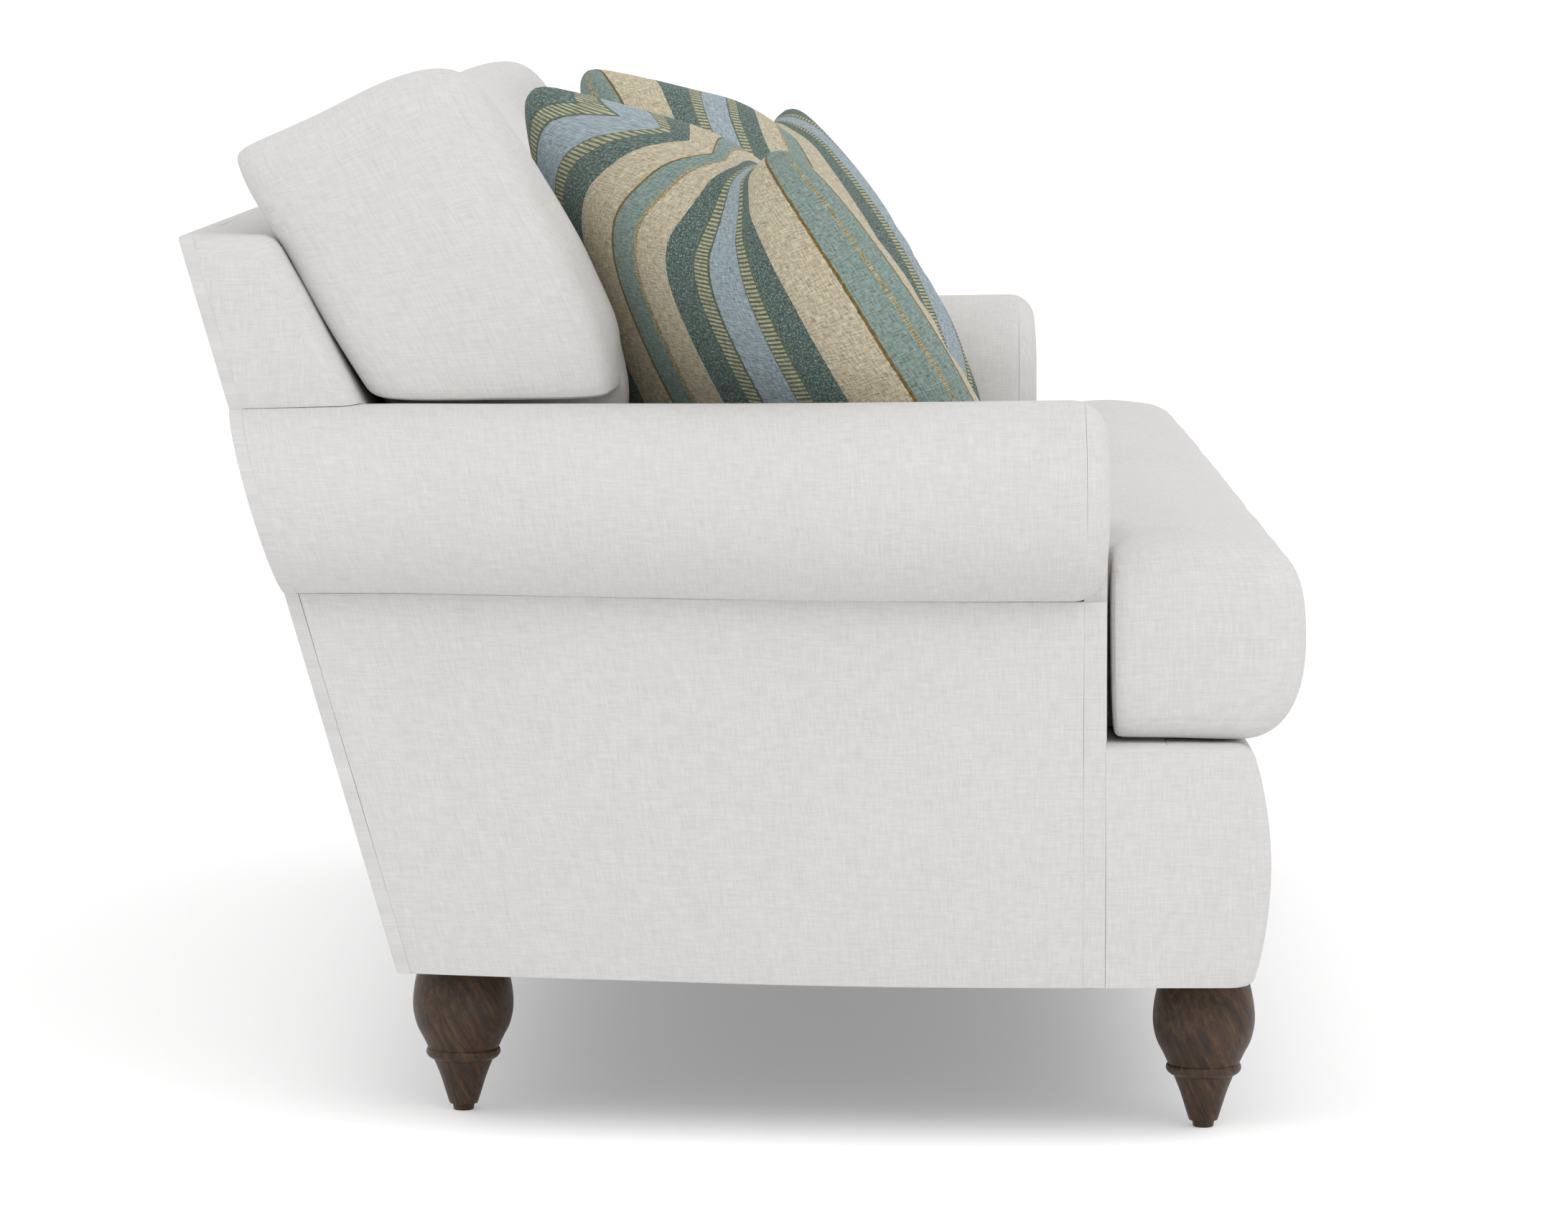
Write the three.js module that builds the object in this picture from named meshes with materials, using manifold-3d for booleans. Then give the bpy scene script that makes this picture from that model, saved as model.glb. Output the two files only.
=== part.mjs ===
// English roll arm sofa: loose T-shaped seat cushions, loose eared back cushions, two throw
// pillows, rolled arms that draw in towards the back, and four turned legs.
// Lengths are in millimetres. +Z is up, the sofa faces -Y and its length lies along X.
// The origin is on the floor, under the middle of the whole sofa.
// Each piece of the right-hand side (+X) is built once and mirrored for the left-hand side.

import * as THREE from 'three';
import { mergeVertices } from 'three/addons/utils/BufferGeometryUtils.js';
import Module from 'manifold-3d';

const wasm = await Module();
wasm.setup();

// Driving sizes

const GAP = 0.3;                 // air between two pieces that touch
const OVERRUN = 6;               // how far a cutting body runs past what it cuts

const DEPTH = 1000;              // front of the seat cushions to the top of the outside back
const FRONT_HALF_WIDTH = 1035;   // centre to the outside arm panel, at the front
const LEG_HEIGHT = 140;          // floor to the underside of the base
const BASE_HEIGHT = 216;         // underside of the base to the top of the deck
const BACK_RISE = 446;           // deck to the top of the back frame

const FRONT_Y = -DEPTH / 2;
const REAR_Y = DEPTH / 2;
const BASE_Z = LEG_HEIGHT;
const DECK_Z = BASE_Z + BASE_HEIGHT;
const BACK_TOP_Z = DECK_Z + BACK_RISE;

const SKIN = 12;                 // a flat upholstered panel: board, wadding and fabric
const PADDED_SKIN = 15;          // a padded cover over the arm or the inside back

// The plan narrows towards the back: the outside arm panels curve in.
const taper = { startBehindFront: 300, endBeforeBackTop: 200, inset: 84, powerShare: 1.4 };

// The arm: a horizontal roll over an upright inner face.
const arm = {
  behindCushionFront: 175,       // the seat cushions' ears stand in front of the arms
  rollAboveDeck: 126,            // deck to the underside of the roll
  frontRadius: 89.5,
  rearRadius: 83.5,
  overhang: 70,                  // roll past the outside arm panel
  frontRounding: 30,             // the rounded front edge of the roll
  postRounding: 8,               // and of the upright below it
  facingDepth: 20,               // the front facing's return along the side
  wallBelowDeck: 26,             // the inner face is tucked down beside the deck
  segments: 15,                  // chords round the roll
  stations: 11,                  // sections along the arm
  neighbourGap: 1.6,             // air left round the chords of the roll by what is cut to it
};

// The back frame: a raked outside plane and a more raked inside plane.
const back = {
  outsideRake: THREE.MathUtils.degToRad(16.2),
  insideRake: THREE.MathUtils.degToRad(27),
  topDepth: 84,
  topRounding: 20,
  cornerSegments: 4,
};

const legs = {
  frontWithinPanel: 95,
  frontFromCushionFront: 82,
  rearWithinBackEnd: 98,
  rearFromBackTop: 246,
  segments: 20,
  boltHole: 4.3,
  boltHoleDepth: 46,
};

const frame = {
  thickness: 28,                 // sawn hardwood rails
  blockHeight: 48,
  blockWidth: 76,
  railTopBelowDeck: 34,          // top of the front and rear rails
  sideRailHeight: 100,
  crossRailHeight: 60,
  frontRailFromCushionFront: 56,
  rearRailFromBackTop: 192,
  sideRailFrontWithinPanel: 50,
  sideRailRearWithinPanel: 71,
  frontRailEndGap: 18,           // to the inner side of the outside arm panel
  rearRailEndGap: 19,
};

const backFrame = {
  postWithinBackEnd: 77,         // the post's inner side to the end of the back
  postWidth: 42,
  memberDepth: 48,               // along Y, parallel to the outside back
  centrePostWidth: 40,
  railHeight: 50,
  topBelowBackTop: 16,
  lowerRailBelowDeck: 26,
  clearance: 1,                  // air between a member and the cover slit round it
};

const armFrame = {
  boardThickness: 24,
  boardWidth: 100,
  boardAboveRollBottom: 74,
  stumpWidth: 50,
  stumpDepth: 45,
  stumpWithinPanel: 58,          // the outside arm panel to the centre of the stump
  stuffingClearance: 5,          // under the chords of the cover
};

const border = {
  bow: 13,                       // the front face swells this far past its top edge
  topBehindCushionFront: 41,
  bottomBehindCushionFront: 40,
  bottomRounding: 12,
  topDrop: 1,                    // its top lies this far below the deck
  lipDepth: 79,
  edgeRollDepth: 27,
  segments: 8,
};

const deck = { thickness: 19, rearUnderBack: 60, sideGap: 0.9 };
const dustCover = { thickness: 1, underFrame: 0.3, edgeGap: 2 };

const springs = {
  pairs: 4,
  besideArm: 6,                  // the evenly spaced springs end this far from the arm
  wire: 4,
  amplitude: 22,
  halfWaves: 9,
  stepsPerHalfWave: 3,
  sides: 4,
  straightEnd: 16,
  endOnRail: 14,
};

const bolt = { radius: 4, length: 88, intoLeg: 42, sides: 10, pointLength: 5 };

// The seat cushions
const seat = {
  rearFromBackTop: 305,
  earWithinPanel: 5,             // the ear's outer side lies this far inside the arm panel
  earGap: 11,                    // air between the ear and the arm front
  cornerGap: 3,                  // air between the cushion's inner corner and the arm front
  sideGap: 2,                    // air to the arm's inner face
  creaseGap: 0.6,                // air between the two cushions
  floorGap: 0.6,                 // air to the deck
  bottomLift: 8,                 // the sewn edge lies this far above the flat underside
  frontRimAboveDeck: 160,
  rearRimAboveDeck: 149.6,
  frontCrown: 9,
  rearCrown: 5.4,
  levelBehindArmFront: 380,      // from here back the top is level, under the back cushion
  rounding: 26,
  earRounding: 14,
  drawIn: 6,
  slot: 380,
  columns: 9,
  layers: 4,
};

// The back cushions stand on the seat cushions and lean on the back frame's top edge.
const backCushion = {
  lean: THREE.MathUtils.degToRad(30.8),
  liftLean: THREE.MathUtils.degToRad(22), // it is lifted out at this lean, past the arms
  frameGap: 0.5,
  seatGap: 0.9,
  armGap: 1.6,
  height: 421,                   // foot to the highest edge, measured up the lean
  topTilt: 30,                   // the top falls towards the front
  topCrown: 10,
  thickness: 182,
  frontCrown: 20,
  footTaperShare: 0.42,          // how much slimmer it is at its foot
  footHeightShare: 0.33,         // the part of its height that stands between the arms
  fullFromShare: 0.5,
  endBulge: 6,
  earRise: 2.5,                  // the ear's underside rises this far to its end
  sideGap: 3,
  creaseGap: 1,
  topRounding: 30,
  footRounding: 12,
  sideRounding: 20,
  slot: 380,
  columns: 9,
  layers: 4,
};

// The throw pillows: the four corners of the right-hand one, as a person would set it.
const pillowInnerTop = { withinPanel: 364, beforeBackTop: 302, aboveDeck: 575 };
const pillowOuterTop = { withinPanel: -5, beforeBackTop: 542, aboveDeck: 524 };
const pillowInnerFoot = { withinPanel: 440, beforeBackTop: 453, aboveDeck: 163 };
const pillowOuterFoot = { withinPanel: 127, beforeBackTop: 745, aboveDeck: 168 };
const pillow = {
  footAboveDeck: 166.4,          // clear of the seat cushion's crown
  halfThickness: 84,
  fullnessShare: 0.45,
  seam: 5,
  thinnedShare: 0.15,            // of the wall: what the inner rims lose in thickness
  drawIn: 20,
  dent: 28,
  dentAtShare: 0.72,
  dentWidthShare: 0.17,
  armGap: 0.6,
  coverMargin: 12,
  cells: 12,
  coreCells: 5,
  slot: 160,
};

// A cushion cover with its wadding, and the zip slot in it.
const cover = { wall: 14, coreGap: 0.8, coreColumns: 3, coreLayers: 2, slotHeight: 3, slotReach: 40 };

// Finishes

const linen = { color: 0xdddbd9, roughness: 0.92, metalness: 0 };
const striped = { color: 0x8fa39a, roughness: 0.95, metalness: 0 };
const walnut = { color: 0x4f3f31, roughness: 0.45, metalness: 0 };
const hardwood = { color: 0xc8a878, roughness: 0.8, metalness: 0 };
const steel = { color: 0x8d8f92, roughness: 0.4, metalness: 1 };
const foam = { color: 0xefe6c8, roughness: 1, metalness: 0 };
const wadding = { color: 0xf0efec, roughness: 1, metalness: 0 };
const cambric = { color: 0x202022, roughness: 1, metalness: 0 };

const sofa = new THREE.Group();

function addPiece(name, geometry, finish) {
  const mesh = new THREE.Mesh(geometry, new THREE.MeshStandardMaterial(finish));
  mesh.name = name;
  sofa.add(mesh);
  return mesh;
}

function addPair(name, geometry, finish) {
  addPiece(`right_${name}`, geometry, finish);
  addPiece(`left_${name}`, mirrored(geometry), finish);
}

// Mesh helpers

function welded(geometry) {
  const bare = geometry.clone();
  bare.deleteAttribute('normal');
  bare.deleteAttribute('uv');
  return mergeVertices(bare);
}

function signedVolume(geometry) {
  const place = geometry.attributes.position;
  const index = geometry.index.array;
  const [a, b, c] = [new THREE.Vector3(), new THREE.Vector3(), new THREE.Vector3()];
  let sum = 0;
  for (let i = 0; i < index.length; i += 3) {
    a.fromBufferAttribute(place, index[i]);
    b.fromBufferAttribute(place, index[i + 1]);
    c.fromBufferAttribute(place, index[i + 2]);
    sum += a.dot(b.cross(c));
  }
  return sum / 6;
}

function flipped(geometry) {
  const index = geometry.index.array;
  for (let i = 0; i < index.length; i += 3) {
    [index[i], index[i + 1]] = [index[i + 1], index[i]];
  }
  return geometry;
}

function facingOut(geometry) {
  return signedVolume(geometry) < 0 ? flipped(geometry) : geometry;
}

function meshOf(points, triangles) {
  const geometry = new THREE.BufferGeometry().setFromPoints(points);
  geometry.setIndex(triangles.flat());
  return facingOut(geometry);
}

function mirrored(geometry) {
  const copy = welded(geometry);
  copy.scale(-1, 1, 1);
  return facingOut(copy);
}

function toSolid(geometry) {
  const shell = welded(geometry);
  return new wasm.Manifold(new wasm.Mesh({
    numProp: 3,
    vertProperties: new Float32Array(shell.attributes.position.array),
    triVerts: new Uint32Array(shell.index.array),
  }));
}

function fromSolid(solid) {
  const { vertProperties, triVerts } = solid.getMesh();
  const geometry = new THREE.BufferGeometry();
  geometry.setAttribute('position', new THREE.Float32BufferAttribute(vertProperties, 3));
  geometry.setIndex(Array.from(triVerts));
  return geometry;
}

function cut(body, ...cutters) {
  let solid = toSolid(body);
  for (const cutter of cutters) solid = solid.subtract(toSolid(cutter));
  return fromSolid(solid);
}

function joined(body, ...others) {
  let solid = toSolid(body);
  for (const other of others) solid = solid.add(toSolid(other));
  return fromSolid(solid);
}

// A box between two opposite corners.
function block(low, high) {
  const size = high.map((value, axis) => value - low[axis]);
  const box = new THREE.BoxGeometry(...size);
  return box.translate(...high.map((value, axis) => (value + low[axis]) / 2));
}

// A plan outline of [x, y] points, raised from one height to another.
function raised(outline, low, high) {
  const shape = new THREE.Shape(outline.map(([x, y]) => new THREE.Vector2(x, y)));
  const slab = new THREE.ExtrudeGeometry(shape, { depth: high - low, bevelEnabled: false });
  return slab.translate(0, 0, low);
}

// A side outline of [y, z] points, run along X from one place to another.
function runAlongX(outline, low, high) {
  const rings = [low, high].map((x) => outline.map(([y, z]) => new THREE.Vector3(x, y, z)));
  return lofted(rings, (point) => new THREE.Vector2(point.y, point.z));
}

// Closed rings with equal counts of points, skinned from first to last and capped at both ends.
function lofted(rings, flatten) {
  const count = rings[0].length;
  const triangles = [];
  for (let ring = 1; ring < rings.length; ring++) {
    const [near, far] = [(ring - 1) * count, ring * count];
    for (let i = 0; i < count; i++) {
      const next = (i + 1) % count;
      triangles.push([near + i, near + next, far + next], [near + i, far + next, far + i]);
    }
  }
  const last = (rings.length - 1) * count;
  const capOf = (ring) => THREE.ShapeUtils.triangulateShape(ring.map(flatten), []);
  const turned = THREE.ShapeUtils.isClockWise(rings[0].map(flatten));
  for (const [a, b, c] of capOf(rings[0])) triangles.push(turned ? [a, b, c] : [c, b, a]);
  for (const [a, b, c] of capOf(rings[rings.length - 1])) {
    triangles.push(turned ? [last + c, last + b, last + a] : [last + a, last + b, last + c]);
  }
  return meshOf(rings.flat(), triangles);
}

const lerp = THREE.MathUtils.lerp;
const clamp = THREE.MathUtils.clamp;
const acrossAndUp = (point) => new THREE.Vector2(point.x, point.z);

// Where the main surfaces lie

const ARM_FRONT_Y = FRONT_Y + arm.behindCushionFront;
const ROLL_BOTTOM_Z = DECK_Z + arm.rollAboveDeck;
const FRAME_Z = BASE_Z + dustCover.underFrame + dustCover.thickness + GAP;
const RAIL_Z = FRAME_Z + frame.blockHeight + GAP;
const RAIL_TOP_Z = DECK_Z - frame.railTopBelowDeck;

const tan = Math.tan;
const cos = Math.cos;
const sin = Math.sin;

// Half the width between the outside arm panels, at a place along the depth.
function panelX(y) {
  const start = FRONT_Y + taper.startBehindFront;
  const end = REAR_Y - taper.endBeforeBackTop;
  const share = clamp((y - start) / (end - start), 0, 1);
  return FRONT_HALF_WIDTH - taper.inset * share ** taper.powerShare;
}

function outsideBackY(z) {
  return REAR_Y - (BACK_TOP_Z - z) * tan(back.outsideRake);
}

function insideBackY(z) {
  return REAR_Y - back.topDepth - (BACK_TOP_Z - z) * tan(back.insideRake);
}

// The inner side of the outside back panel, less the air in front of it.
function behindBackY(z) {
  return outsideBackY(z) - (SKIN + GAP) / cos(back.outsideRake);
}

function rollRadius(y) {
  const share = clamp((y - ARM_FRONT_Y) / (REAR_Y - ARM_FRONT_Y), 0, 1);
  return lerp(arm.frontRadius, arm.rearRadius, share);
}

function rollX(y) {
  return panelX(y) + arm.overhang - rollRadius(y);
}

function rollZ(y) {
  return ROLL_BOTTOM_Z + rollRadius(y);
}

function armInnerX(y) {
  return rollX(y) - rollRadius(y);
}

// How far the arm's rounded front edge has drawn in, at a place along the depth.
function frontInset(y) {
  const short = clamp(arm.frontRounding - (y - ARM_FRONT_Y), 0, arm.frontRounding);
  return arm.frontRounding - Math.sqrt(arm.frontRounding ** 2 - short ** 2);
}

// Arms

// Points round the roll from one angle to the other, on a radius drawn in by inset.
function rollArc(y, fromAngle, toAngle, inset) {
  const radius = rollRadius(y) - inset;
  return Array.from({ length: arm.segments }, (_, i) => {
    const angle = lerp(fromAngle, toAngle, i / (arm.segments - 1));
    return [rollX(y) + radius * cos(angle), rollZ(y) + radius * sin(angle)];
  });
}

// Sections along the arm. Each point of an outline goes to its own place along the depth, so that
// the rear end can be raked, and then takes the outline's width and height there.
function armLoft(frontY, rearYAt, stations, outlineAt) {
  const rings = stations.map((share) => {
    const guide = outlineAt(lerp(frontY, rearYAt(ROLL_BOTTOM_Z), share));
    return guide.map(([, height], i) => {
      const y = lerp(frontY, rearYAt(height), share);
      const [x, z] = outlineAt(y)[i];
      return new THREE.Vector3(x, y, z);
    });
  });
  return lofted(rings, acrossAndUp);
}

const evenStations = Array.from({ length: arm.stations }, (_, i) => i / (arm.stations - 1));

const ROLL_TUCK = THREE.MathUtils.degToRad(-95);
const ROLL_INNER = Math.PI;

// The padded cover: round the roll from its tuck at the outside panel, then down the inner face.
function armCoverOutline(y) {
  const inset = frontInset(y);
  const foot = DECK_Z - arm.wallBelowDeck;
  const outer = rollArc(y, ROLL_TUCK, ROLL_INNER, inset);
  const inner = rollArc(y, ROLL_INNER, ROLL_TUCK, inset + PADDED_SKIN);
  const face = armInnerX(y) + inset;
  return [...outer, [face, foot], [face + PADDED_SKIN, foot], ...inner];
}

// The whole outline of the arm, from its foot up the outside panel and round to the inner face.
function armOutline(y, foot, inset) {
  const radius = rollRadius(y) - inset;
  const sharp = Math.min(inset, arm.postRounding);
  const side = panelX(y) - sharp;
  const start = -Math.acos(clamp((side - rollX(y)) / radius, -1, 1));
  const face = armInnerX(y) + sharp;
  return [[side, foot], ...rollArc(y, start, ROLL_INNER, inset), [face, foot]];
}

const FACING_REAR_Y = ARM_FRONT_Y + arm.facingDepth;

// The cover is slit round the back post, and notched over the back's lower rail.
function armCover() {
  const whole = armLoft(FACING_REAR_Y + GAP, behindBackY, evenStations, armCoverOutline);
  const [low, high] = [DECK_Z - arm.wallBelowDeck, BACK_TOP_Z];
  const round = backFrame.clearance;
  const slit = [
    [postFrontY(low) - round, low],
    [behindBackY(low) + OVERRUN, low],
    [behindBackY(high) + OVERRUN, high],
    [postFrontY(high) - round, high],
  ];
  const notch = block(
    [armInnerX(REAR_Y) - OVERRUN, postFrontY(LOWER_RAIL_Z) - round, low - OVERRUN],
    [POST_INNER_X + OVERRUN, REAR_Y, LOWER_RAIL_TOP_Z + round],
  );
  const postOuterX = POST_INNER_X + backFrame.postWidth;
  return cut(whole, runAlongX(slit, POST_INNER_X - round, postOuterX + round), notch);
}

// The front facing, with a return that runs down the side to the foot of the base.
function armFacing() {
  const shares = [0, 0.13, 0.36, 1];
  const rearAt = () => FACING_REAR_Y;
  const foot = DECK_Z - arm.wallBelowDeck;
  const face = armLoft(ARM_FRONT_Y, rearAt, shares, (y) => armOutline(y, foot, frontInset(y)));
  const edge = panelX(ARM_FRONT_Y);
  const strip = block([edge - SKIN, ARM_FRONT_Y, BASE_Z], [edge, FACING_REAR_Y, ROLL_BOTTOM_Z]);
  return joined(face, strip);
}

function outsideArmPanel() {
  const outline = (y) => [
    [panelX(y), BASE_Z],
    [panelX(y), ROLL_BOTTOM_Z - GAP],
    [panelX(y) - SKIN, ROLL_BOTTOM_Z - GAP],
    [panelX(y) - SKIN, BASE_Z],
  ];
  return armLoft(FACING_REAR_Y + GAP, behindBackY, evenStations, outline);
}

// The arm and all it holds, as one body, to cut its neighbours clear of it. An inset below zero
// makes it larger.
function armEnvelope(inset) {
  const pastBack = (z) => outsideBackY(z) + OVERRUN;
  const outline = (y) => armOutline(y, DECK_Z - arm.wallBelowDeck, inset);
  return armLoft(FACING_REAR_Y, pastBack, evenStations, outline);
}

const BOARD_Z = ROLL_BOTTOM_Z + armFrame.boardAboveRollBottom;
const BOARD_TOP_Z = BOARD_Z + armFrame.boardThickness;
const postFrontY = (z) => behindBackY(z) - GAP - backFrame.memberDepth;
const boardEndY = (z) => postFrontY(z) - GAP;

function armBoard() {
  const outline = (y) => {
    const [low, high] = [rollX(y) - armFrame.boardWidth / 2, rollX(y) + armFrame.boardWidth / 2];
    return [[high, BOARD_Z], [high, BOARD_TOP_Z], [low, BOARD_TOP_Z], [low, BOARD_Z]];
  };
  return armLoft(FACING_REAR_Y + GAP, boardEndY, evenStations, outline);
}

// The stuffing fills the roll above the board.
function armStuffing() {
  const foot = BOARD_TOP_Z + GAP;
  const inset = PADDED_SKIN + armFrame.stuffingClearance;
  const outline = (y) => {
    const start = Math.asin((foot - rollZ(y)) / (rollRadius(y) - inset - frontInset(y)));
    return rollArc(y, start, Math.PI - start, inset + frontInset(y));
  };
  return armLoft(FACING_REAR_Y + GAP, boardEndY, evenStations, outline);
}

function armStump() {
  const [x, half] = [FRONT_HALF_WIDTH - armFrame.stumpWithinPanel, armFrame.stumpWidth / 2];
  const y = FACING_REAR_Y + GAP;
  const foot = RAIL_Z + frame.sideRailHeight + GAP;
  return block([x - half, y, foot], [x + half, y + armFrame.stumpDepth, BOARD_Z - GAP]);
}

// Back

const BACK_HALF_WIDTH = panelX(REAR_Y);
const POST_INNER_X = BACK_HALF_WIDTH - backFrame.postWithinBackEnd;

// The raked member of the back frame between two heights, as a side outline.
function rakedOutline(low, high) {
  return [
    [postFrontY(low), low],
    [behindBackY(low) - GAP, low],
    [behindBackY(high) - GAP, high],
    [postFrontY(high), high],
  ];
}

const TOP_RAIL_TOP_Z = BACK_TOP_Z - backFrame.topBelowBackTop;
const TOP_RAIL_Z = TOP_RAIL_TOP_Z - backFrame.railHeight;
const LOWER_RAIL_Z = DECK_Z - backFrame.lowerRailBelowDeck;
const LOWER_RAIL_TOP_Z = LOWER_RAIL_Z + backFrame.railHeight;

function backPost() {
  const outline = rakedOutline(RAIL_TOP_Z + GAP, TOP_RAIL_TOP_Z);
  return runAlongX(outline, POST_INNER_X, POST_INNER_X + backFrame.postWidth);
}

function backRail(low, high) {
  const reach = POST_INNER_X - GAP;
  return runAlongX(rakedOutline(low, high), -reach, reach);
}

function backCentrePost() {
  const half = backFrame.centrePostWidth / 2;
  return runAlongX(rakedOutline(LOWER_RAIL_TOP_Z + GAP, TOP_RAIL_Z - GAP), -half, half);
}

// The side outline of the inside back, with its rounded top edge, drawn in by a wall.
function insideBackOutline(foot, wall, rearSpare) {
  const radius = back.topRounding - Math.min(wall, back.topRounding / 2);
  const top = BACK_TOP_Z - wall;
  const face = (z) => insideBackY(z) + wall / cos(back.insideRake);
  const centreZ = top - radius;
  const centreY = face(centreZ) + radius / cos(back.insideRake);
  const corner = Array.from({ length: back.cornerSegments + 1 }, (_, i) => {
    const angle = lerp(Math.PI - back.insideRake, Math.PI / 2, i / back.cornerSegments);
    return [centreY + radius * cos(angle), centreZ + radius * sin(angle)];
  });
  return [
    [face(foot), foot],
    ...corner,
    [behindBackY(top) + rearSpare, top],
    [behindBackY(foot) + rearSpare, foot],
  ];
}

function insideBackCover() {
  const foot = DECK_Z + GAP;
  const whole = insideBackOutline(foot, 0, 0);
  const hollow = insideBackOutline(foot - OVERRUN, PADDED_SKIN, OVERRUN);
  const reach = BACK_HALF_WIDTH - PADDED_SKIN;
  const armBody = armEnvelope(-arm.neighbourGap);
  return cut(
    runAlongX(whole, -BACK_HALF_WIDTH, BACK_HALF_WIDTH),
    runAlongX(hollow, -reach, reach),
    armBody,
    mirrored(armBody),
  );
}

// The flat panel on the back: the back's width, with an ear over the end of each arm roll.
function outsideBackPanel() {
  const tuck = Math.acos((BACK_HALF_WIDTH - rollX(REAR_Y)) / rollRadius(REAR_Y));
  const right = [
    [BACK_HALF_WIDTH, BASE_Z],
    ...rollArc(REAR_Y, -tuck, tuck, 0),
    [BACK_HALF_WIDTH, BACK_TOP_Z],
  ];
  const ring = (yAt) => bothHalves(right).map(([x, z]) => new THREE.Vector3(x, yAt(z), z));
  const front = (z) => behindBackY(z) + GAP / cos(back.outsideRake);
  return lofted([ring(front), ring(outsideBackY)], acrossAndUp);
}

// Seat frame

const FRONT_RAIL_Y = FRONT_Y + frame.frontRailFromCushionFront;
const REAR_RAIL_Y = REAR_Y - frame.rearRailFromBackTop;
const BEHIND_FRONT_RAIL_Y = FRONT_RAIL_Y + frame.thickness + GAP;
const AHEAD_OF_REAR_RAIL_Y = REAR_RAIL_Y - frame.thickness - GAP;

function frontRail() {
  const reach = FRONT_HALF_WIDTH - SKIN - frame.frontRailEndGap;
  return block([-reach, FRONT_RAIL_Y, RAIL_Z], [reach, FRONT_RAIL_Y + frame.thickness, RAIL_TOP_Z]);
}

function rearRail() {
  const reach = panelX(REAR_RAIL_Y) - SKIN - frame.rearRailEndGap;
  return block([-reach, REAR_RAIL_Y - frame.thickness, RAIL_Z], [reach, REAR_RAIL_Y, RAIL_TOP_Z]);
}

function sideRail() {
  const half = frame.thickness / 2;
  const frontX = FRONT_HALF_WIDTH - frame.sideRailFrontWithinPanel;
  const rearX = panelX(REAR_RAIL_Y) - frame.sideRailRearWithinPanel;
  const outline = [
    [frontX - half, BEHIND_FRONT_RAIL_Y],
    [frontX + half, BEHIND_FRONT_RAIL_Y],
    [rearX + half, AHEAD_OF_REAR_RAIL_Y],
    [rearX - half, AHEAD_OF_REAR_RAIL_Y],
  ];
  return raised(outline, RAIL_Z, RAIL_Z + frame.sideRailHeight);
}

function centreRail() {
  const half = frame.thickness / 2;
  const top = RAIL_Z + frame.crossRailHeight;
  return block([-half, BEHIND_FRONT_RAIL_Y, RAIL_Z], [half, AHEAD_OF_REAR_RAIL_Y, top]);
}

const LEG_PLACES = {
  front: {
    x: FRONT_HALF_WIDTH - legs.frontWithinPanel,
    y: FRONT_Y + legs.frontFromCushionFront,
  },
  rear: {
    x: BACK_HALF_WIDTH - legs.rearWithinBackEnd,
    y: REAR_Y - legs.rearFromBackTop,
  },
};

// A plain cylinder for a bolt hole, between two heights.
function holeCutter(place, low, high) {
  const pin = new THREE.CylinderGeometry(legs.boltHole, legs.boltHole, high - low, bolt.sides);
  pin.rotateX(Math.PI / 2);
  return pin.translate(place.x, place.y, (low + high) / 2);
}

// A block carries the leg's bolt. The front block runs from the front rail, the rear one to its rail.
function legBlock(place, lowY) {
  const half = frame.blockWidth / 2;
  const top = FRAME_Z + frame.blockHeight;
  const body = block(
    [place.x - half, lowY, FRAME_Z],
    [place.x + half, lowY + frame.blockWidth, top],
  );
  return cut(body, holeCutter(place, FRAME_Z - OVERRUN, top + OVERRUN));
}

// Seat springs and deck

const DECK_UNDER_Z = DECK_Z - deck.thickness;
const SPRING_FRONT_Y = FRONT_RAIL_Y + frame.thickness - springs.endOnRail;
const SPRING_REAR_Y = REAR_RAIL_Y - frame.thickness + springs.endOnRail;

// A sinuous spring: one wire that weaves from the front rail to the rear rail and arches upwards.
class SinuousWire extends THREE.Curve {
  constructor(x) {
    super();
    this.x = x;
  }

  getPoint(share) {
    const y = lerp(SPRING_FRONT_Y, SPRING_REAR_Y, share);
    const seatZ = RAIL_TOP_Z + GAP + springs.wire / 2;
    const arch = DECK_UNDER_Z - GAP - springs.wire / 2 - seatZ;
    const endShare = springs.straightEnd / (SPRING_REAR_Y - SPRING_FRONT_Y);
    const woven = clamp((share - endShare) / (1 - 2 * endShare), 0, 1);
    const x = this.x + springs.amplitude * sin(woven * springs.halfWaves * Math.PI);
    return new THREE.Vector3(x, y, seatZ + arch * sin(share * Math.PI));
  }
}

function regularOutline(radius, sides) {
  const points = Array.from({ length: sides }, (_, i) => {
    const angle = (2 * Math.PI * i) / sides;
    return new THREE.Vector2(radius * cos(angle), radius * sin(angle));
  });
  return new THREE.Shape(points);
}

function seatSpring(x) {
  return new THREE.ExtrudeGeometry(regularOutline(springs.wire / 2, springs.sides), {
    steps: springs.halfWaves * springs.stepsPerHalfWave + 2,
    extrudePath: new SinuousWire(x),
  });
}

// Half of a plan outline that runs beside the arm's inner face, front to rear.
function besideArm(frontY, rearY, gap) {
  return evenStations.map((share) => {
    const y = lerp(frontY, rearY, share);
    return [armInnerX(y) - gap, y];
  });
}

const LIP_REAR_Y = FRONT_Y + border.topBehindCushionFront + border.lipDepth;

function bothHalves(right) {
  return [...right, ...right.map(([x, y]) => [-x, y]).reverse()];
}

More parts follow.
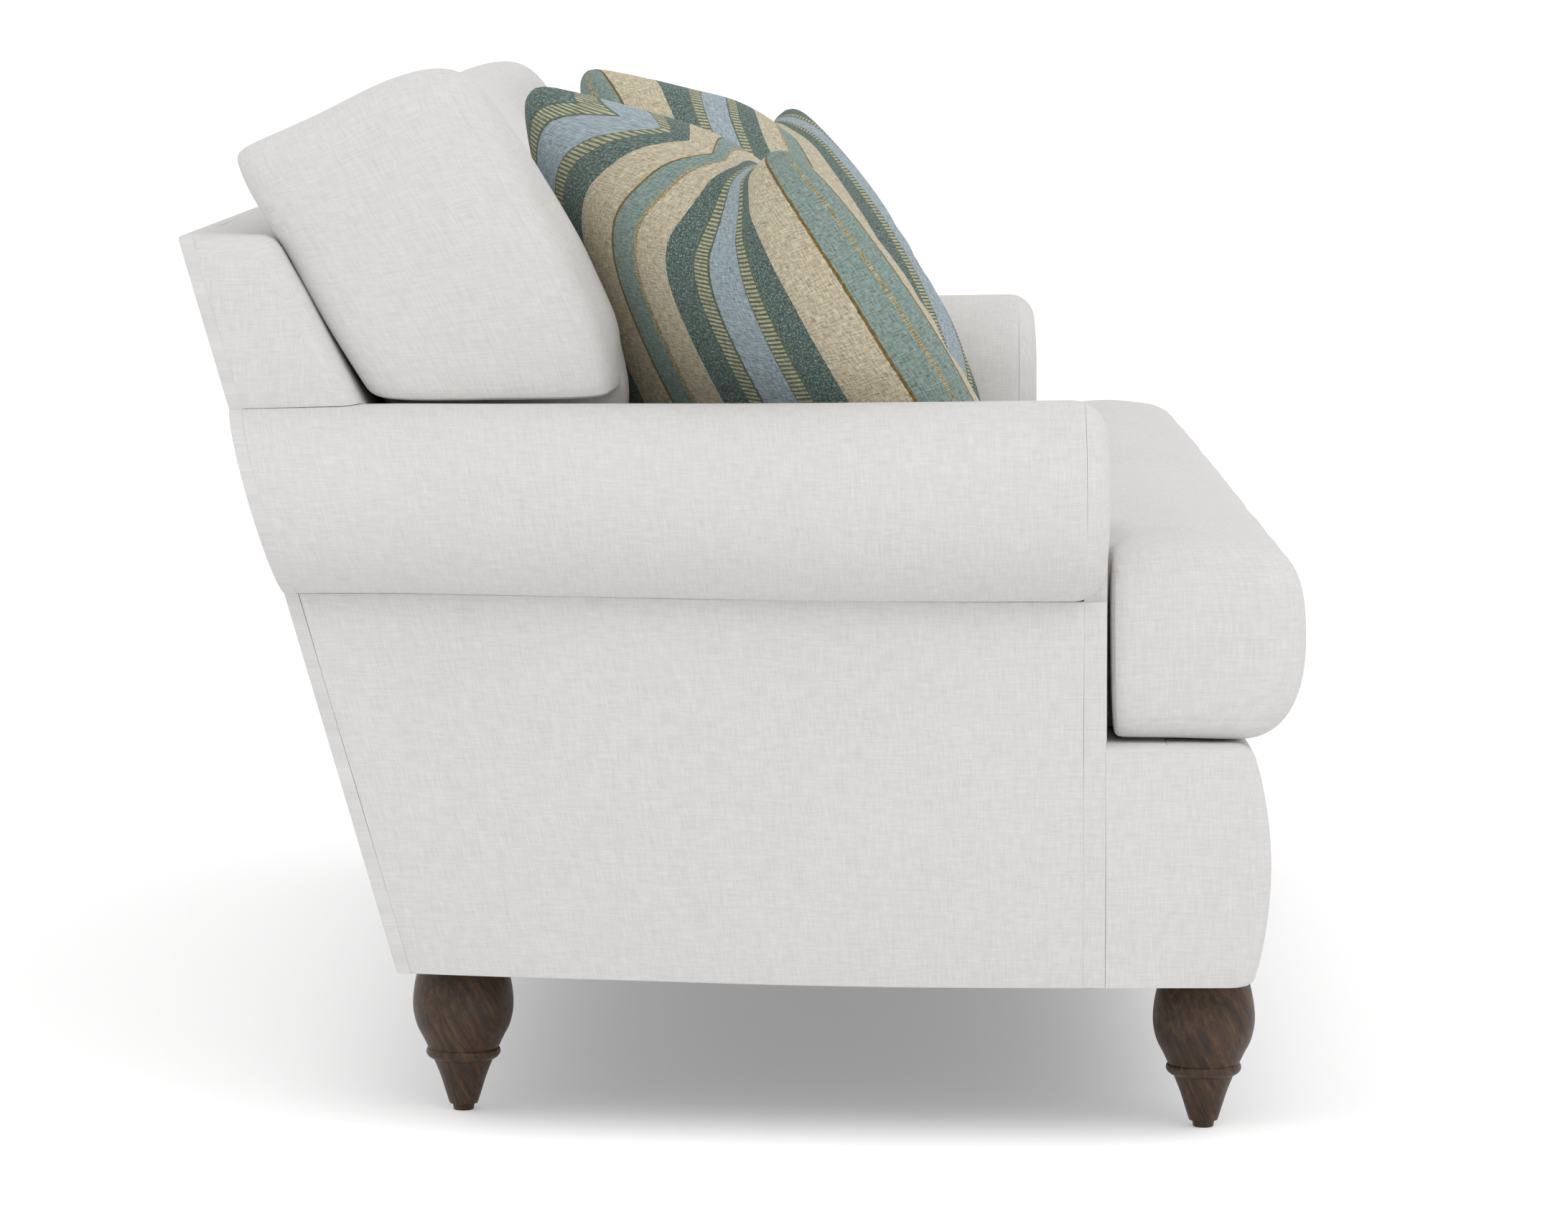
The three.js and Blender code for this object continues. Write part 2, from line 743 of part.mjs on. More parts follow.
function seatDeck() {
  const wide = FRONT_HALF_WIDTH - SKIN - GAP;
  const rear = insideBackY(DECK_Z) + deck.rearUnderBack;
  const right = [
    [wide, LIP_REAR_Y + GAP],
    [wide, ARM_FRONT_Y - GAP],
    ...besideArm(ARM_FRONT_Y - GAP, rear, deck.sideGap),
  ];
  return raised(bothHalves(right), DECK_UNDER_Z, DECK_Z);
}

function dustCoverSheet() {
  const low = BASE_Z + dustCover.underFrame;
  const inset = SKIN + dustCover.edgeGap;
  const rear = behindBackY(low) - dustCover.edgeGap;
  const right = [
    [FRONT_HALF_WIDTH - inset, FRONT_Y + border.bottomBehindCushionFront + inset],
    ...evenStations.map((share) => {
      const y = lerp(ARM_FRONT_Y, rear, share);
      return [panelX(y) - inset, y];
    }),
  ];
  const holes = Object.values(LEG_PLACES).map((place) => holeCutter(place, 0, RAIL_Z));
  const sheet = raised(bothHalves(right), low, low + dustCover.thickness);
  return cut(sheet, ...holes, ...holes.map(mirrored));
}

// Front border: a bowed front with an edge roll and a lip, and a return at each side.

const BORDER_TOP_Z = DECK_Z - border.topDrop;

// The outer face of the border from its foot to its top edge, as [y, z] points.
function borderFace() {
  const foot = FRONT_Y + border.bottomBehindCushionFront;
  const top = FRONT_Y + border.topBehindCushionFront;
  const rise = BASE_Z + border.bottomRounding;
  const face = Array.from({ length: border.segments + 1 }, (_, i) => {
    const share = i / border.segments;
    const bow = border.bow * sin(Math.PI * share) ** 0.8;
    return [lerp(foot, top, share) - bow, lerp(rise, BORDER_TOP_Z, share)];
  });
  return [[foot + border.bottomRounding / 2, BASE_Z], ...face];
}

function borderCover() {
  const face = borderFace();
  const low = face.slice(1).filter(([, z]) => z < RAIL_TOP_Z);
  const inner = [...low.map(([y, z]) => [y + SKIN, z]).reverse(), [low[0][0] + SKIN, BASE_Z]];
  const edgeRollY = face[face.length - 1][0] + border.edgeRollDepth;
  const wall = [
    ...face,
    [LIP_REAR_Y, BORDER_TOP_Z],
    [LIP_REAR_Y, BORDER_TOP_Z - SKIN],
    [edgeRollY, BORDER_TOP_Z - SKIN],
    [edgeRollY, RAIL_TOP_Z + GAP],
    [inner[0][0], RAIL_TOP_Z + GAP],
    ...inner,
  ];
  const side = [...face, [ARM_FRONT_Y - GAP, BORDER_TOP_Z], [ARM_FRONT_Y - GAP, BASE_Z]];
  const reach = FRONT_HALF_WIDTH;
  const front = runAlongX(wall, -reach, reach);
  const right = runAlongX(side, reach - SKIN, reach);
  return joined(front, right, mirrored(right));
}

// Legs and their bolts

// The turned profile: each radius goes with the height it is reached at.
const turning = [
  { radius: 7.6, height: 0 },
  { radius: 9.6, height: 3 },
  { radius: 10.2, height: 6.5 },
  { radius: 13.6, height: 8.5 },
  { radius: 21, height: 32 },
  { radius: 27, height: 47 },
  { radius: 32.6, height: 51 },
  { radius: 34, height: 54.5 },
  { radius: 32.4, height: 58 },
  { radius: 33, height: 60 },
  { radius: 36.8, height: 68 },
  { radius: 42, height: 78 },
  { radius: 45.2, height: 90 },
  { radius: 46, height: 101 },
  { radius: 44.8, height: 114 },
  { radius: 42, height: 128 },
  { radius: 39, height: LEG_HEIGHT },
];

function turned(profile) {
  const lathe = new THREE.LatheGeometry(profile, legs.segments);
  return lathe.rotateX(Math.PI / 2);
}

function leg(place) {
  const profile = [
    new THREE.Vector2(0, 0),
    ...turning.map(({ radius, height }) => new THREE.Vector2(radius, height)),
    new THREE.Vector2(legs.boltHole, LEG_HEIGHT),
    new THREE.Vector2(legs.boltHole, LEG_HEIGHT - legs.boltHoleDepth),
    new THREE.Vector2(0, LEG_HEIGHT - legs.boltHoleDepth),
  ];
  return turned(profile).translate(place.x, place.y, 0);
}

function hangerBolt(place) {
  const low = LEG_HEIGHT - bolt.intoLeg;
  const profile = [
    new THREE.Vector2(0, low),
    new THREE.Vector2(bolt.radius, low),
    new THREE.Vector2(bolt.radius, low + bolt.length - bolt.pointLength),
    new THREE.Vector2(0, low + bolt.length),
  ];
  const lathe = new THREE.LatheGeometry(profile, bolt.sides);
  return lathe.rotateX(Math.PI / 2).translate(place.x, place.y, 0);
}

// Soft forms

const SEAT_REAR_Y = REAR_Y - seat.rearFromBackTop;

// A box of grid cells, each corner of which is sent to its place by pointAt. That is given the
// shares across, along and through the piece, and how far inside its surface the point lies.
function softForm(cells, pointAt, margin) {
  const grid = welded(new THREE.BoxGeometry(1, 1, 1, ...cells));
  const place = grid.attributes.position;
  const points = Array.from({ length: place.count }, (_, i) => pointAt(
    place.getX(i) + HALF,
    place.getY(i) + HALF,
    place.getZ(i) + HALF,
    margin,
  ));
  const form = new THREE.BufferGeometry().setFromPoints(points);
  form.setIndex(grid.index);
  return facingOut(form);
}

// A full edge: how far the rim is drawn in, and how high it stands, at a share through the piece.
const HALF = 0.5;
const FULLNESS = 0.5;
const EDGE_SHARE = 0.01;         // a share this close to an end is at the end
const rimInset = (share) => 1 - Math.abs(cos((share - HALF) * Math.PI)) ** FULLNESS;
function rimRise(share) {
  const swing = sin((share - HALF) * Math.PI);
  return Math.sign(swing) * Math.abs(swing) ** FULLNESS;
}

// Swellings that are 1 in the middle and fall to 0 at both ends of their share: a round one, and
// two that stay level for longer and fall off near the ends.
const swelling = (share, power) => 1 - Math.abs(2 * share - 1) ** power;
const round = (share) => swelling(share, 2);
const full = (share) => swelling(share, 4);
const level = (share) => swelling(share, 8);

// Reads a hand-set list of shares at an even share of its length.
function shareAt(shares, share) {
  const step = clamp(share, 0, 1) * (shares.length - 1);
  const low = Math.min(Math.floor(step), shares.length - 2);
  return lerp(shares[low], shares[low + 1], step - low);
}

// Rows are closer where the form turns: near its edges, and where the ear ends.
const edgeShares = [0, 0.05, 0.14, 0.27, 0.42, 0.58, 0.73, 0.86, 0.95, 1];
const seatEarShares = [0, 0.12, 0.4, 0.72, 1];
const seatBodyShares = [0, 0.06, 0.28, 0.52, 0.76, 0.93, 1];
const SEAT_ROWS = seatEarShares.length + seatBodyShares.length - 1;

function seatCushionPoint(across, along, through, margin) {
  const row = along * SEAT_ROWS;
  const inEar = row < seatEarShares.length - HALF;
  const earShare = shareAt(seatEarShares, row / (seatEarShares.length - 1));
  const bodyRow = row - seatEarShares.length;
  const bodyShare = shareAt(seatBodyShares, bodyRow / (seatBodyShares.length - 1));
  const columnShare = shareAt(edgeShares, across);
  const rim = rimInset(through);
  const inset = seat.rounding * rim + margin;

  const frontY = FRONT_Y + inset + seat.drawIn * round(columnShare) * rim;
  const earRearY = ARM_FRONT_Y - seat.earGap - seat.earRounding * rim - margin;
  const bodyFrontY = ARM_FRONT_Y - seat.cornerGap - margin;
  const y = inEar
    ? lerp(frontY, earRearY, earShare)
    : lerp(bodyFrontY, SEAT_REAR_Y - inset, bodyShare);
  const depthShare = (y - FRONT_Y) / (SEAT_REAR_Y - FRONT_Y);

  const earX = FRONT_HALF_WIDTH - seat.earWithinPanel;
  const bodyX = armInnerX(Math.max(y, ARM_FRONT_Y)) - seat.sideGap;
  const lowX = seat.creaseGap / 2 + inset + seat.drawIn * round(depthShare);
  const x = lerp(lowX, (inEar ? earX : bodyX) - inset, columnShare);

  const levelY = ARM_FRONT_Y + seat.levelBehindArmFront;
  const slope = clamp((levelY - y) / (levelY - FRONT_Y), 0, 1);
  const top = DECK_Z + lerp(seat.rearRimAboveDeck, seat.frontRimAboveDeck, slope) - margin;
  const foot = DECK_Z + seat.floorGap + seat.bottomLift + margin;
  const edge = lerp(foot, top, (rimRise(through) + 1) / 2);
  const crown = lerp(seat.rearCrown, seat.frontCrown, slope) * full(columnShare) * level(depthShare);
  const inside = round(across) * round(along) > EDGE_SHARE;
  const upper = through > 1 - EDGE_SHARE ? crown : 0;
  const lower = through < EDGE_SHARE && inside ? seat.bottomLift : 0;
  return new THREE.Vector3(x, y, edge + upper - lower);
}

// The back cushion is laid out in a leaning frame: up the lean, and forwards across it.
const LEAN_UP = { y: sin(backCushion.lean), z: cos(backCushion.lean) };
const SEAT_TOP_Z = DECK_Z + seat.rearRimAboveDeck + seat.rearCrown;
const CUSHION_FOOT_Z = SEAT_TOP_Z + backCushion.seatGap;

// The leaning plane that just clears the back frame's rounded top edge.
function leanPlane() {
  const centreZ = BACK_TOP_Z - back.topRounding;
  const centreY = insideBackY(centreZ) + back.topRounding / cos(back.insideRake);
  const across = centreY * LEAN_UP.z - centreZ * LEAN_UP.y;
  return across - back.topRounding - backCushion.frameGap;
}

const CUSHION_REAR = leanPlane();

// How far up the lean a level height lies, at a distance across it.
const upToLevel = (z, across) => (z + across * LEAN_UP.y) / LEAN_UP.z;
const CUSHION_TOP_UP = upToLevel(CUSHION_FOOT_Z, CUSHION_REAR) + backCushion.height;

// The ears rest on the crest of the arm rolls.
function earFootZ() {
  const middleY = insideBackY(rollZ(0)) - backCushion.thickness / 2;
  return ROLL_BOTTOM_Z + 2 * rollRadius(middleY) + backCushion.armGap;
}

const CUSHION_EAR_Z = earFootZ();

const cushionFootShares = [0, 0.12, 0.55, 1];
const cushionEarShares = [0, 0.06, 0.22, 0.46, 0.7, 0.88, 0.96, 1];
const CUSHION_ROWS = cushionFootShares.length + cushionEarShares.length - 1;

function backCushionPoint(across, along, through, margin) {
  const row = along * CUSHION_ROWS;
  const inEar = row > cushionFootShares.length - HALF;
  const footShare = shareAt(cushionFootShares, row / (cushionFootShares.length - 1));
  const earRow = row - cushionFootShares.length;
  const earShare = shareAt(cushionEarShares, earRow / (cushionEarShares.length - 1));
  const columnShare = shareAt(edgeShares, across);
  const heightShare = inEar
    ? lerp(backCushion.footHeightShare, 1, earShare)
    : backCushion.footHeightShare * footShare;
  const rim = rimInset(through);

  const low = clamp(1 - heightShare / backCushion.fullFromShare, 0, 1);
  const slimmed = backCushion.thickness * (1 - backCushion.footTaperShare * low);
  const swell = through > 1 - EDGE_SHARE ? full(columnShare) * level(heightShare) : 0;
  const thickness = slimmed + backCushion.frontCrown * swell - 2 * margin;
  const acrossLean = CUSHION_REAR - margin - thickness * (1 + rimRise(through)) / 2;

  const topUp = CUSHION_TOP_UP + backCushion.topCrown * full(columnShare)
    - backCushion.topTilt * through - backCushion.topRounding * rim - margin;
  const lift = backCushion.footRounding * rim + margin;
  const footUp = upToLevel(CUSHION_FOOT_Z, acrossLean) + lift;
  const earUp = upToLevel(CUSHION_EAR_Z, acrossLean) + lift;
  const up = inEar ? lerp(earUp, topUp, earShare) : lerp(footUp, earUp - backCushion.earRise, footShare);

  const y = up * LEAN_UP.y + acrossLean * LEAN_UP.z;
  const z = up * LEAN_UP.z - acrossLean * LEAN_UP.y;
  const inset = backCushion.sideRounding * rim + margin;
  const passingY = y + Math.max(rollZ(y) - z, 0) * tan(backCushion.liftLean);
  const bodyX = armInnerX(clamp(passingY, ARM_FRONT_Y, REAR_Y)) - backCushion.sideGap;
  const earX = BACK_HALF_WIDTH - backCushion.endBulge * (1 - round(earShare));
  const lowX = backCushion.creaseGap / 2 + inset;
  const x = lerp(lowX, (inEar ? earX : bodyX) - inset, columnShare);
  return new THREE.Vector3(x, y, z);
}

// A throw pillow: knife edges, drawn-in sides with pointed corners, and a chop in its top edge.
const pillowCorner = ({ withinPanel, beforeBackTop, aboveDeck }) => new THREE.Vector3(
  FRONT_HALF_WIDTH - withinPanel,
  REAR_Y - beforeBackTop,
  DECK_Z + aboveDeck,
);
const PILLOW_FOOT_Z = DECK_Z + pillow.footAboveDeck;

function pillowPoint(across, along, through, margin) {
  const [footStart, footEnd] = [pillowCorner(pillowInnerFoot), pillowCorner(pillowOuterFoot)];
  const [topStart, topEnd] = [pillowCorner(pillowInnerTop), pillowCorner(pillowOuterTop)];
  const rising = topStart.clone().sub(footStart);
  const outwards = topEnd.clone().sub(topStart);
  const facing = rising.clone().cross(outwards).normalize();

  const chop = Math.exp(-(((across - pillow.dentAtShare) / pillow.dentWidthShare) ** 2));
  const sidesIn = (pillow.drawIn * round(along) + margin) / outwards.length();
  const endsIn = (pillow.drawIn * round(across) + margin) / rising.length();
  const chopIn = (pillow.dent * chop) / rising.length();
  const acrossShare = lerp(sidesIn, 1 - sidesIn, across);
  const alongShare = lerp(endsIn, 1 - endsIn - chopIn, along);
  const middle = footStart.lerp(footEnd, acrossShare);
  middle.lerp(topStart.lerp(topEnd, acrossShare), alongShare);

  const fill = (round(across) * round(along)) ** pillow.fullnessShare;
  const rim = pillow.seam / 2 - margin * pillow.thinnedShare;
  const belly = (pillow.halfThickness - margin) * fill + rim;
  const point = middle.addScaledVector(facing, through > HALF ? belly : -belly);
  point.z = Math.max(point.z, PILLOW_FOOT_Z + margin);
  return point;
}

function seatCushion() {
  const { columns, layers, slot } = seat;
  const coreCells = [cover.coreColumns, SEAT_ROWS, cover.coreLayers];
  const middleX = rollX(SEAT_REAR_Y) / 2;
  const middleZ = DECK_Z + seat.rearRimAboveDeck / 2;
  const zip = block(
    [middleX - slot / 2, SEAT_REAR_Y - cover.slotReach, middleZ - cover.slotHeight / 2],
    [middleX + slot / 2, SEAT_REAR_Y + OVERRUN, middleZ + cover.slotHeight / 2],
  );
  return {
    cover: cut(
      softForm([columns, SEAT_ROWS, layers], seatCushionPoint, 0),
      softForm(coreCells, seatCushionPoint, cover.wall),
      zip,
    ),
    core: softForm(coreCells, seatCushionPoint, cover.wall + cover.coreGap),
  };
}

function backCushionPair() {
  const { columns, layers, slot } = backCushion;
  const coreCells = [cover.coreColumns, CUSHION_ROWS, cover.coreLayers];
  const foot = backCushionPoint(HALF, 0, HALF, 0);
  const zip = block(
    [foot.x - slot / 2, foot.y, CUSHION_FOOT_Z - OVERRUN],
    [foot.x + slot / 2, foot.y + cover.slotHeight, CUSHION_FOOT_Z + cover.slotReach],
  );
  return {
    cover: cut(
      softForm([columns, CUSHION_ROWS, layers], backCushionPoint, 0),
      softForm(coreCells, backCushionPoint, cover.wall),
      zip,
    ),
    fill: softForm(coreCells, backCushionPoint, cover.wall + cover.coreGap),
  };
}

// The pillow is hollowed by the arm that it leans on.
function throwPillow() {
  const { cells, coreCells, coverMargin, slot, armGap } = pillow;
  const against = (count, margin) => cut(
    softForm([count, count, 1], pillowPoint, margin),
    armEnvelope(-Math.max(margin, armGap)),
  );
  const foot = pillowPoint(HALF, 0, 0, 0);
  const zip = block(
    [foot.x - slot / 2, foot.y - cover.slotHeight / 2, PILLOW_FOOT_Z - OVERRUN],
    [foot.x + slot / 2, foot.y + cover.slotHeight / 2, PILLOW_FOOT_Z + cover.slotReach],
  );
  return {
    cover: cut(against(cells, 0), against(coreCells, coverMargin), zip),
    insert: against(coreCells, coverMargin + cover.coreGap),
  };
}

// Assembly

addPiece('front_rail', frontRail(), hardwood);
addPiece('rear_rail', rearRail(), hardwood);
addPair('side_rail', sideRail(), hardwood);
addPiece('centre_rail', centreRail(), hardwood);

const frontBlock = legBlock(LEG_PLACES.front, FRONT_RAIL_Y);
const rearBlock = legBlock(LEG_PLACES.rear, behindBackY(FRAME_Z) - GAP - frame.blockWidth);
addPair('front_leg_block', frontBlock, hardwood);
addPair('rear_leg_block', rearBlock, hardwood);

addPair('arm_stump', armStump(), hardwood);
addPair('arm_board', armBoard(), hardwood);
addPair('arm_stuffing', armStuffing(), wadding);
addPair('back_post', backPost(), hardwood);
addPiece('back_top_rail', backRail(TOP_RAIL_Z, TOP_RAIL_TOP_Z), hardwood);
addPiece('back_lower_rail', backRail(LOWER_RAIL_Z, LOWER_RAIL_TOP_Z), hardwood);
addPiece('back_centre_post', backCentrePost(), hardwood);

const SPRING_SPACING = (armInnerX(ARM_FRONT_Y) - springs.besideArm) / springs.pairs;
for (let pair = 1; pair <= springs.pairs; pair++) {
  addPair(`seat_spring_${pair}`, seatSpring(SPRING_SPACING * (pair - HALF)), steel);
}

addPiece('seat_deck', seatDeck(), cambric);
addPiece('dust_cover', dustCoverSheet(), cambric);
addPair('arm_cover', armCover(), linen);
addPair('outside_arm_panel', outsideArmPanel(), linen);
addPair('arm_facing', armFacing(), linen);
addPiece('inside_back_cover', insideBackCover(), linen);
addPiece('outside_back_panel', outsideBackPanel(), linen);
addPiece('front_border', borderCover(), linen);

for (const [end, place] of Object.entries(LEG_PLACES)) {
  addPair(`${end}_leg`, leg(place), walnut);
  addPair(`${end}_hanger_bolt`, hangerBolt(place), steel);
}

const seatPieces = seatCushion();
addPair('seat_cushion', seatPieces.cover, linen);
addPair('seat_cushion_core', seatPieces.core, foam);

const backPieces = backCushionPair();
addPair('back_cushion', backPieces.cover, linen);
addPair('back_cushion_fill', backPieces.fill, wadding);

const pillowPieces = throwPillow();
addPair('throw_pillow', pillowPieces.cover, striped);
addPair('throw_pillow_insert', pillowPieces.insert, wadding);

export default sofa;
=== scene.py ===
# %% [markdown]
# # An english roll arm sofa
#
# The wooden frame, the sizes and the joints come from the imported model, which is a set of plain
# solids. This file dresses it: smooth padded covers, cushions blown up by Blender's cloth, turned
# legs, woven finishes, and a pale studio round it. Everything is in metres. +Z is up, the sofa
# faces -Y, and its length lies along X, so the photographed side is the one at -X.

# %% Load the frame
import math

import bmesh
import bpy
import numpy as np
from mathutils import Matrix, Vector, noise


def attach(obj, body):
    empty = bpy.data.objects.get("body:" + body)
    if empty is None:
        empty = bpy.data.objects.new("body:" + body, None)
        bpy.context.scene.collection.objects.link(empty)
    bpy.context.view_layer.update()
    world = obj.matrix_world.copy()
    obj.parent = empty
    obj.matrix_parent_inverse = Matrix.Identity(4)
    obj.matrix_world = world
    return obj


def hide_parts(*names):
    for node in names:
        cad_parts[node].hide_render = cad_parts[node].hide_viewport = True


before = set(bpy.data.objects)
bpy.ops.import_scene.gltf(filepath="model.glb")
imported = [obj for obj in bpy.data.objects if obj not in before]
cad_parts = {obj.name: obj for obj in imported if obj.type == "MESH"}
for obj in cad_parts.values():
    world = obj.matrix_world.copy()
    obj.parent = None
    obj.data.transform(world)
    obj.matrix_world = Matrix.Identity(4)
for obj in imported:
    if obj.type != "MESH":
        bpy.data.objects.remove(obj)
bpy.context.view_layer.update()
scene = bpy.context.scene

# %% [markdown]
# ## Camera
#
# The photograph is a side view taken from far away with a long lens, a little above the seat. A
# camera is placed by where it stands and what it looks along, so the direction is worked out from
# two small angles: a few degrees down, and a fraction of a degree towards the back of the sofa.

# %% Camera
CAMERA_PLACE = Vector((-6.806, -0.077, 1.020))
CAMERA_DOWN = math.radians(5.345)
CAMERA_ASIDE = math.radians(0.3628)
LENS = 150.99

aim = Vector((
    math.cos(CAMERA_DOWN) * math.cos(CAMERA_ASIDE),
    math.cos(CAMERA_DOWN) * math.sin(CAMERA_ASIDE),
    -math.sin(CAMERA_DOWN),
))
camera_data = bpy.data.cameras.new("camera")
camera_data.lens = LENS
camera_data.sensor_width = 36.0
camera_data.clip_end = 2000.0
camera = bpy.data.objects.new("camera", camera_data)
camera.location = CAMERA_PLACE
camera.rotation_euler = aim.to_track_quat("-Z", "Y").to_euler()
scene.collection.objects.link(camera)
scene.camera = camera
scene.view_settings.view_transform = "Standard"
print("camera looks along", tuple(round(v, 3) for v in aim))

# %% [markdown]
# ## Shader sums as Python sums
#
# A material is a graph of nodes. Patterns such as a weave need many small sums, so a Wire holds
# one output of a node and answers +, -, * and / by adding the Math node itself. Every other node
# is made by one method that takes its type, its settings and what goes into its sockets.

# %% Wires and finishes
class Wire:
    """One output of a node, which can be used in sums."""

    def __init__(self, finish, socket):
        self.finish, self.socket = finish, socket

    def sum_of(self, operation, *values):
        return self.finish.node("ShaderNodeMath", {"operation": operation}, dict(enumerate(values)))

    def __add__(self, other):
        return self.sum_of("ADD", self, other)

    def __sub__(self, other):
        return self.sum_of("SUBTRACT", self, other)

    def __rsub__(self, other):
        return self.sum_of("SUBTRACT", other, self)

    def __mul__(self, other):
        return self.sum_of("MULTIPLY", self, other)

    def __truediv__(self, other):
        return self.sum_of("DIVIDE", self, other)

    def __gt__(self, other):
        return self.sum_of("GREATER_THAN", self, other)

    def __lt__(self, other):
        return self.sum_of("LESS_THAN", self, other)

    __radd__ = __add__
    __rmul__ = __mul__

    def fraction(self):
        return self.sum_of("FRACT", self)

    def size(self):
        return self.sum_of("ABSOLUTE", self)


class Finish:
    """A material and the one way to add nodes to it."""

    def __init__(self, name):
        self.material = bpy.data.materials.new(name)
        self.material.use_nodes = True
        self.tree = self.material.node_tree
        self.tree.nodes.clear()

    def node(self, kind, settings=None, sockets=None, out=0):
        made = self.tree.nodes.new(kind)
        for key, value in (settings or {}).items():
            if key == "stops":
                self.set_stops(made.color_ramp, value)
            else:
                setattr(made, key, value)
        for key, value in (sockets or {}).items():
            if isinstance(value, Wire):
                self.tree.links.new(value.socket, made.inputs[key])
            else:
                made.inputs[key].default_value = value
        return Wire(self, made.outputs[out]) if made.outputs else None

    @staticmethod
    def set_stops(ramp, stops):
        while len(ramp.elements) < len(stops):
            ramp.elements.new(0.5)
        for element, (place, colour) in zip(ramp.elements, stops):
            element.position = place
            element.color = colour

    def axes(self, vector):
        split = self.node("ShaderNodeSeparateXYZ", sockets={0: vector}).socket.node
        return [Wire(self, output) for output in split.outputs]

    def place(self, x, y, z=0.0):
        return self.node("ShaderNodeCombineXYZ", sockets={0: x, 1: y, 2: z})

    def noise(self, vector, scale, detail=2.0, roughness=0.5):
        sockets = {"Vector": vector, "Scale": scale, "Detail": detail, "Roughness": roughness}
        return self.node("ShaderNodeTexNoise", sockets=sockets)

    def mix(self, share, first, second, blend="MIX"):
        """Sockets 6 and 7 of a Mix node, and its output 2, are the ones for colours."""
        settings = {"data_type": "RGBA", "blend_type": blend}
        return self.node("ShaderNodeMix", settings, {0: share, 6: first, 7: second}, out=2)

    def ramp(self, share, stops, between="LINEAR"):
        made = self.node("ShaderNodeValToRGB", {"stops": stops}, {0: share})
        made.socket.node.color_ramp.interpolation = between
        return made

    def spot(self):
        """A point's own place in metres, which is output 3 of Texture Coordinate."""
        return self.node("ShaderNodeTexCoord", out=3)

    def bump(self, height, distance, strength=1.0):
        sockets = {"Height": height, "Distance": distance, "Strength": strength}
        return self.node("ShaderNodeBump", sockets=sockets)

    def surface(self, **sockets):
        named = {key.replace("_", " "): value for key, value in sockets.items()}
        shader = self.node("ShaderNodeBsdfPrincipled", sockets=named)
        self.finish_with(shader)
        return self.material

    def finish_with(self, shader):
        self.node("ShaderNodeOutputMaterial", sockets={0: shader})


def colour(red, green, blue):
    """An sRGB colour of 0 to 255 as the linear one that shaders use."""
    def linear(value):
        share = value / 255
        return share / 12.92 if share <= 0.04045 else ((share + 0.055) / 1.055) ** 2.4
    return (linear(red), linear(green), linear(blue), 1.0)


# %% [markdown]
# ## Upholstery linen
#
# The cover is an off-white linen in a plain weave. Its threads are uneven: some are thicker for
# a few centimetres, which shows as fine dashes both ways. Each face of a piece carries a flat
# cloth map in metres, so a noise squeezed one way draws the threads that run the other way.

# %% Upholstery linen
THREAD, SLUB_LENGTH = 0.0017, 0.017
BROADER, LONGER = 3, 2.4
FINE_TONE, BROAD_TONE, CLOUD_TONE = 0.85, 0.36, 0.22
FINE_RELIEF, BROAD_RELIEF, SEAM_RELIEF = 0.6, 0.3, 1.2
# How much painted shade darkens the linen along its seams.
SEAM_PAINTED_SHADE = 0.10


def cloth_map(finish):
    across, along, _ = finish.axes(finish.node("ShaderNodeUVMap", {"uv_map": "cloth"}))
    return across, along


def threads(finish, across, along, width, length, detail=1.5):
    """Uneven threads both ways: two noises, each long one way and short the other."""
    warp = finish.noise(finish.place(across / width, along / length), 1.0, detail)
    weft = finish.noise(finish.place(across / length, along / width, 7.0), 1.0, detail)
    return warp, weft


def linen_finish(name, light, dark, strength=1.0):
    finish = Finish(name)
    across, along = cloth_map(finish)
    warp, weft = threads(finish, across, along, THREAD, SLUB_LENGTH)
    broad_warp, broad_weft = threads(
        finish, across, along, BROADER * THREAD, LONGER * SLUB_LENGTH,
    )
    cloudy = finish.noise(finish.place(across, along), scale=5.0, detail=3.0)
    tone = 0.5 + strength * (
        FINE_TONE * (warp - 0.5) + FINE_TONE * (weft - 0.5)
        + BROAD_TONE * (broad_warp - 0.5) + BROAD_TONE * (broad_weft - 0.5)
        + CLOUD_TONE * (cloudy - 0.5)
    )
    shade = finish.ramp(tone, [(0.0, dark), (1.0, light)])
    # Painted shade: along the seams the colour darkens towards the dark tone, as the groove of a
    # seam lies in shade.
    # The mark fades over a whole cell of the mesh, and its eighth power keeps the line thin.
    mark = finish.node("ShaderNodeAttribute", {"attribute_name": "seam"}, out=2)
    square = mark * mark
    seam = square * square * square * square
    shade = finish.mix(seam * SEAM_PAINTED_SHADE, shade, dark)
    height = FINE_RELIEF * warp + FINE_RELIEF * weft + BROAD_RELIEF * broad_warp
    return finish.surface(
        Base_Color=shade,
        Roughness=0.92,
        Sheen_Weight=0.12,
        Sheen_Roughness=0.6,
        Specular_IOR_Level=0.25,
        Normal=finish.bump(height - SEAM_RELIEF * seam, distance=0.0007, strength=0.45),
    )


linen = linen_finish("linen", colour(230, 228, 227), colour(208, 206, 204))

# %% [markdown]
# ## Striped linen
#
# The pillows are cut from a common blanket stripe. The stripes are a table: each has a width and
# a colour, and the table repeats across the cloth. A colour ramp with hard steps reads it, and
# the masks for what is woven into a stripe read it too: short cream dashes over the green ground
# of the ladder stripes, pale flecks in the slate ones, and specks in the narrow dotted one.

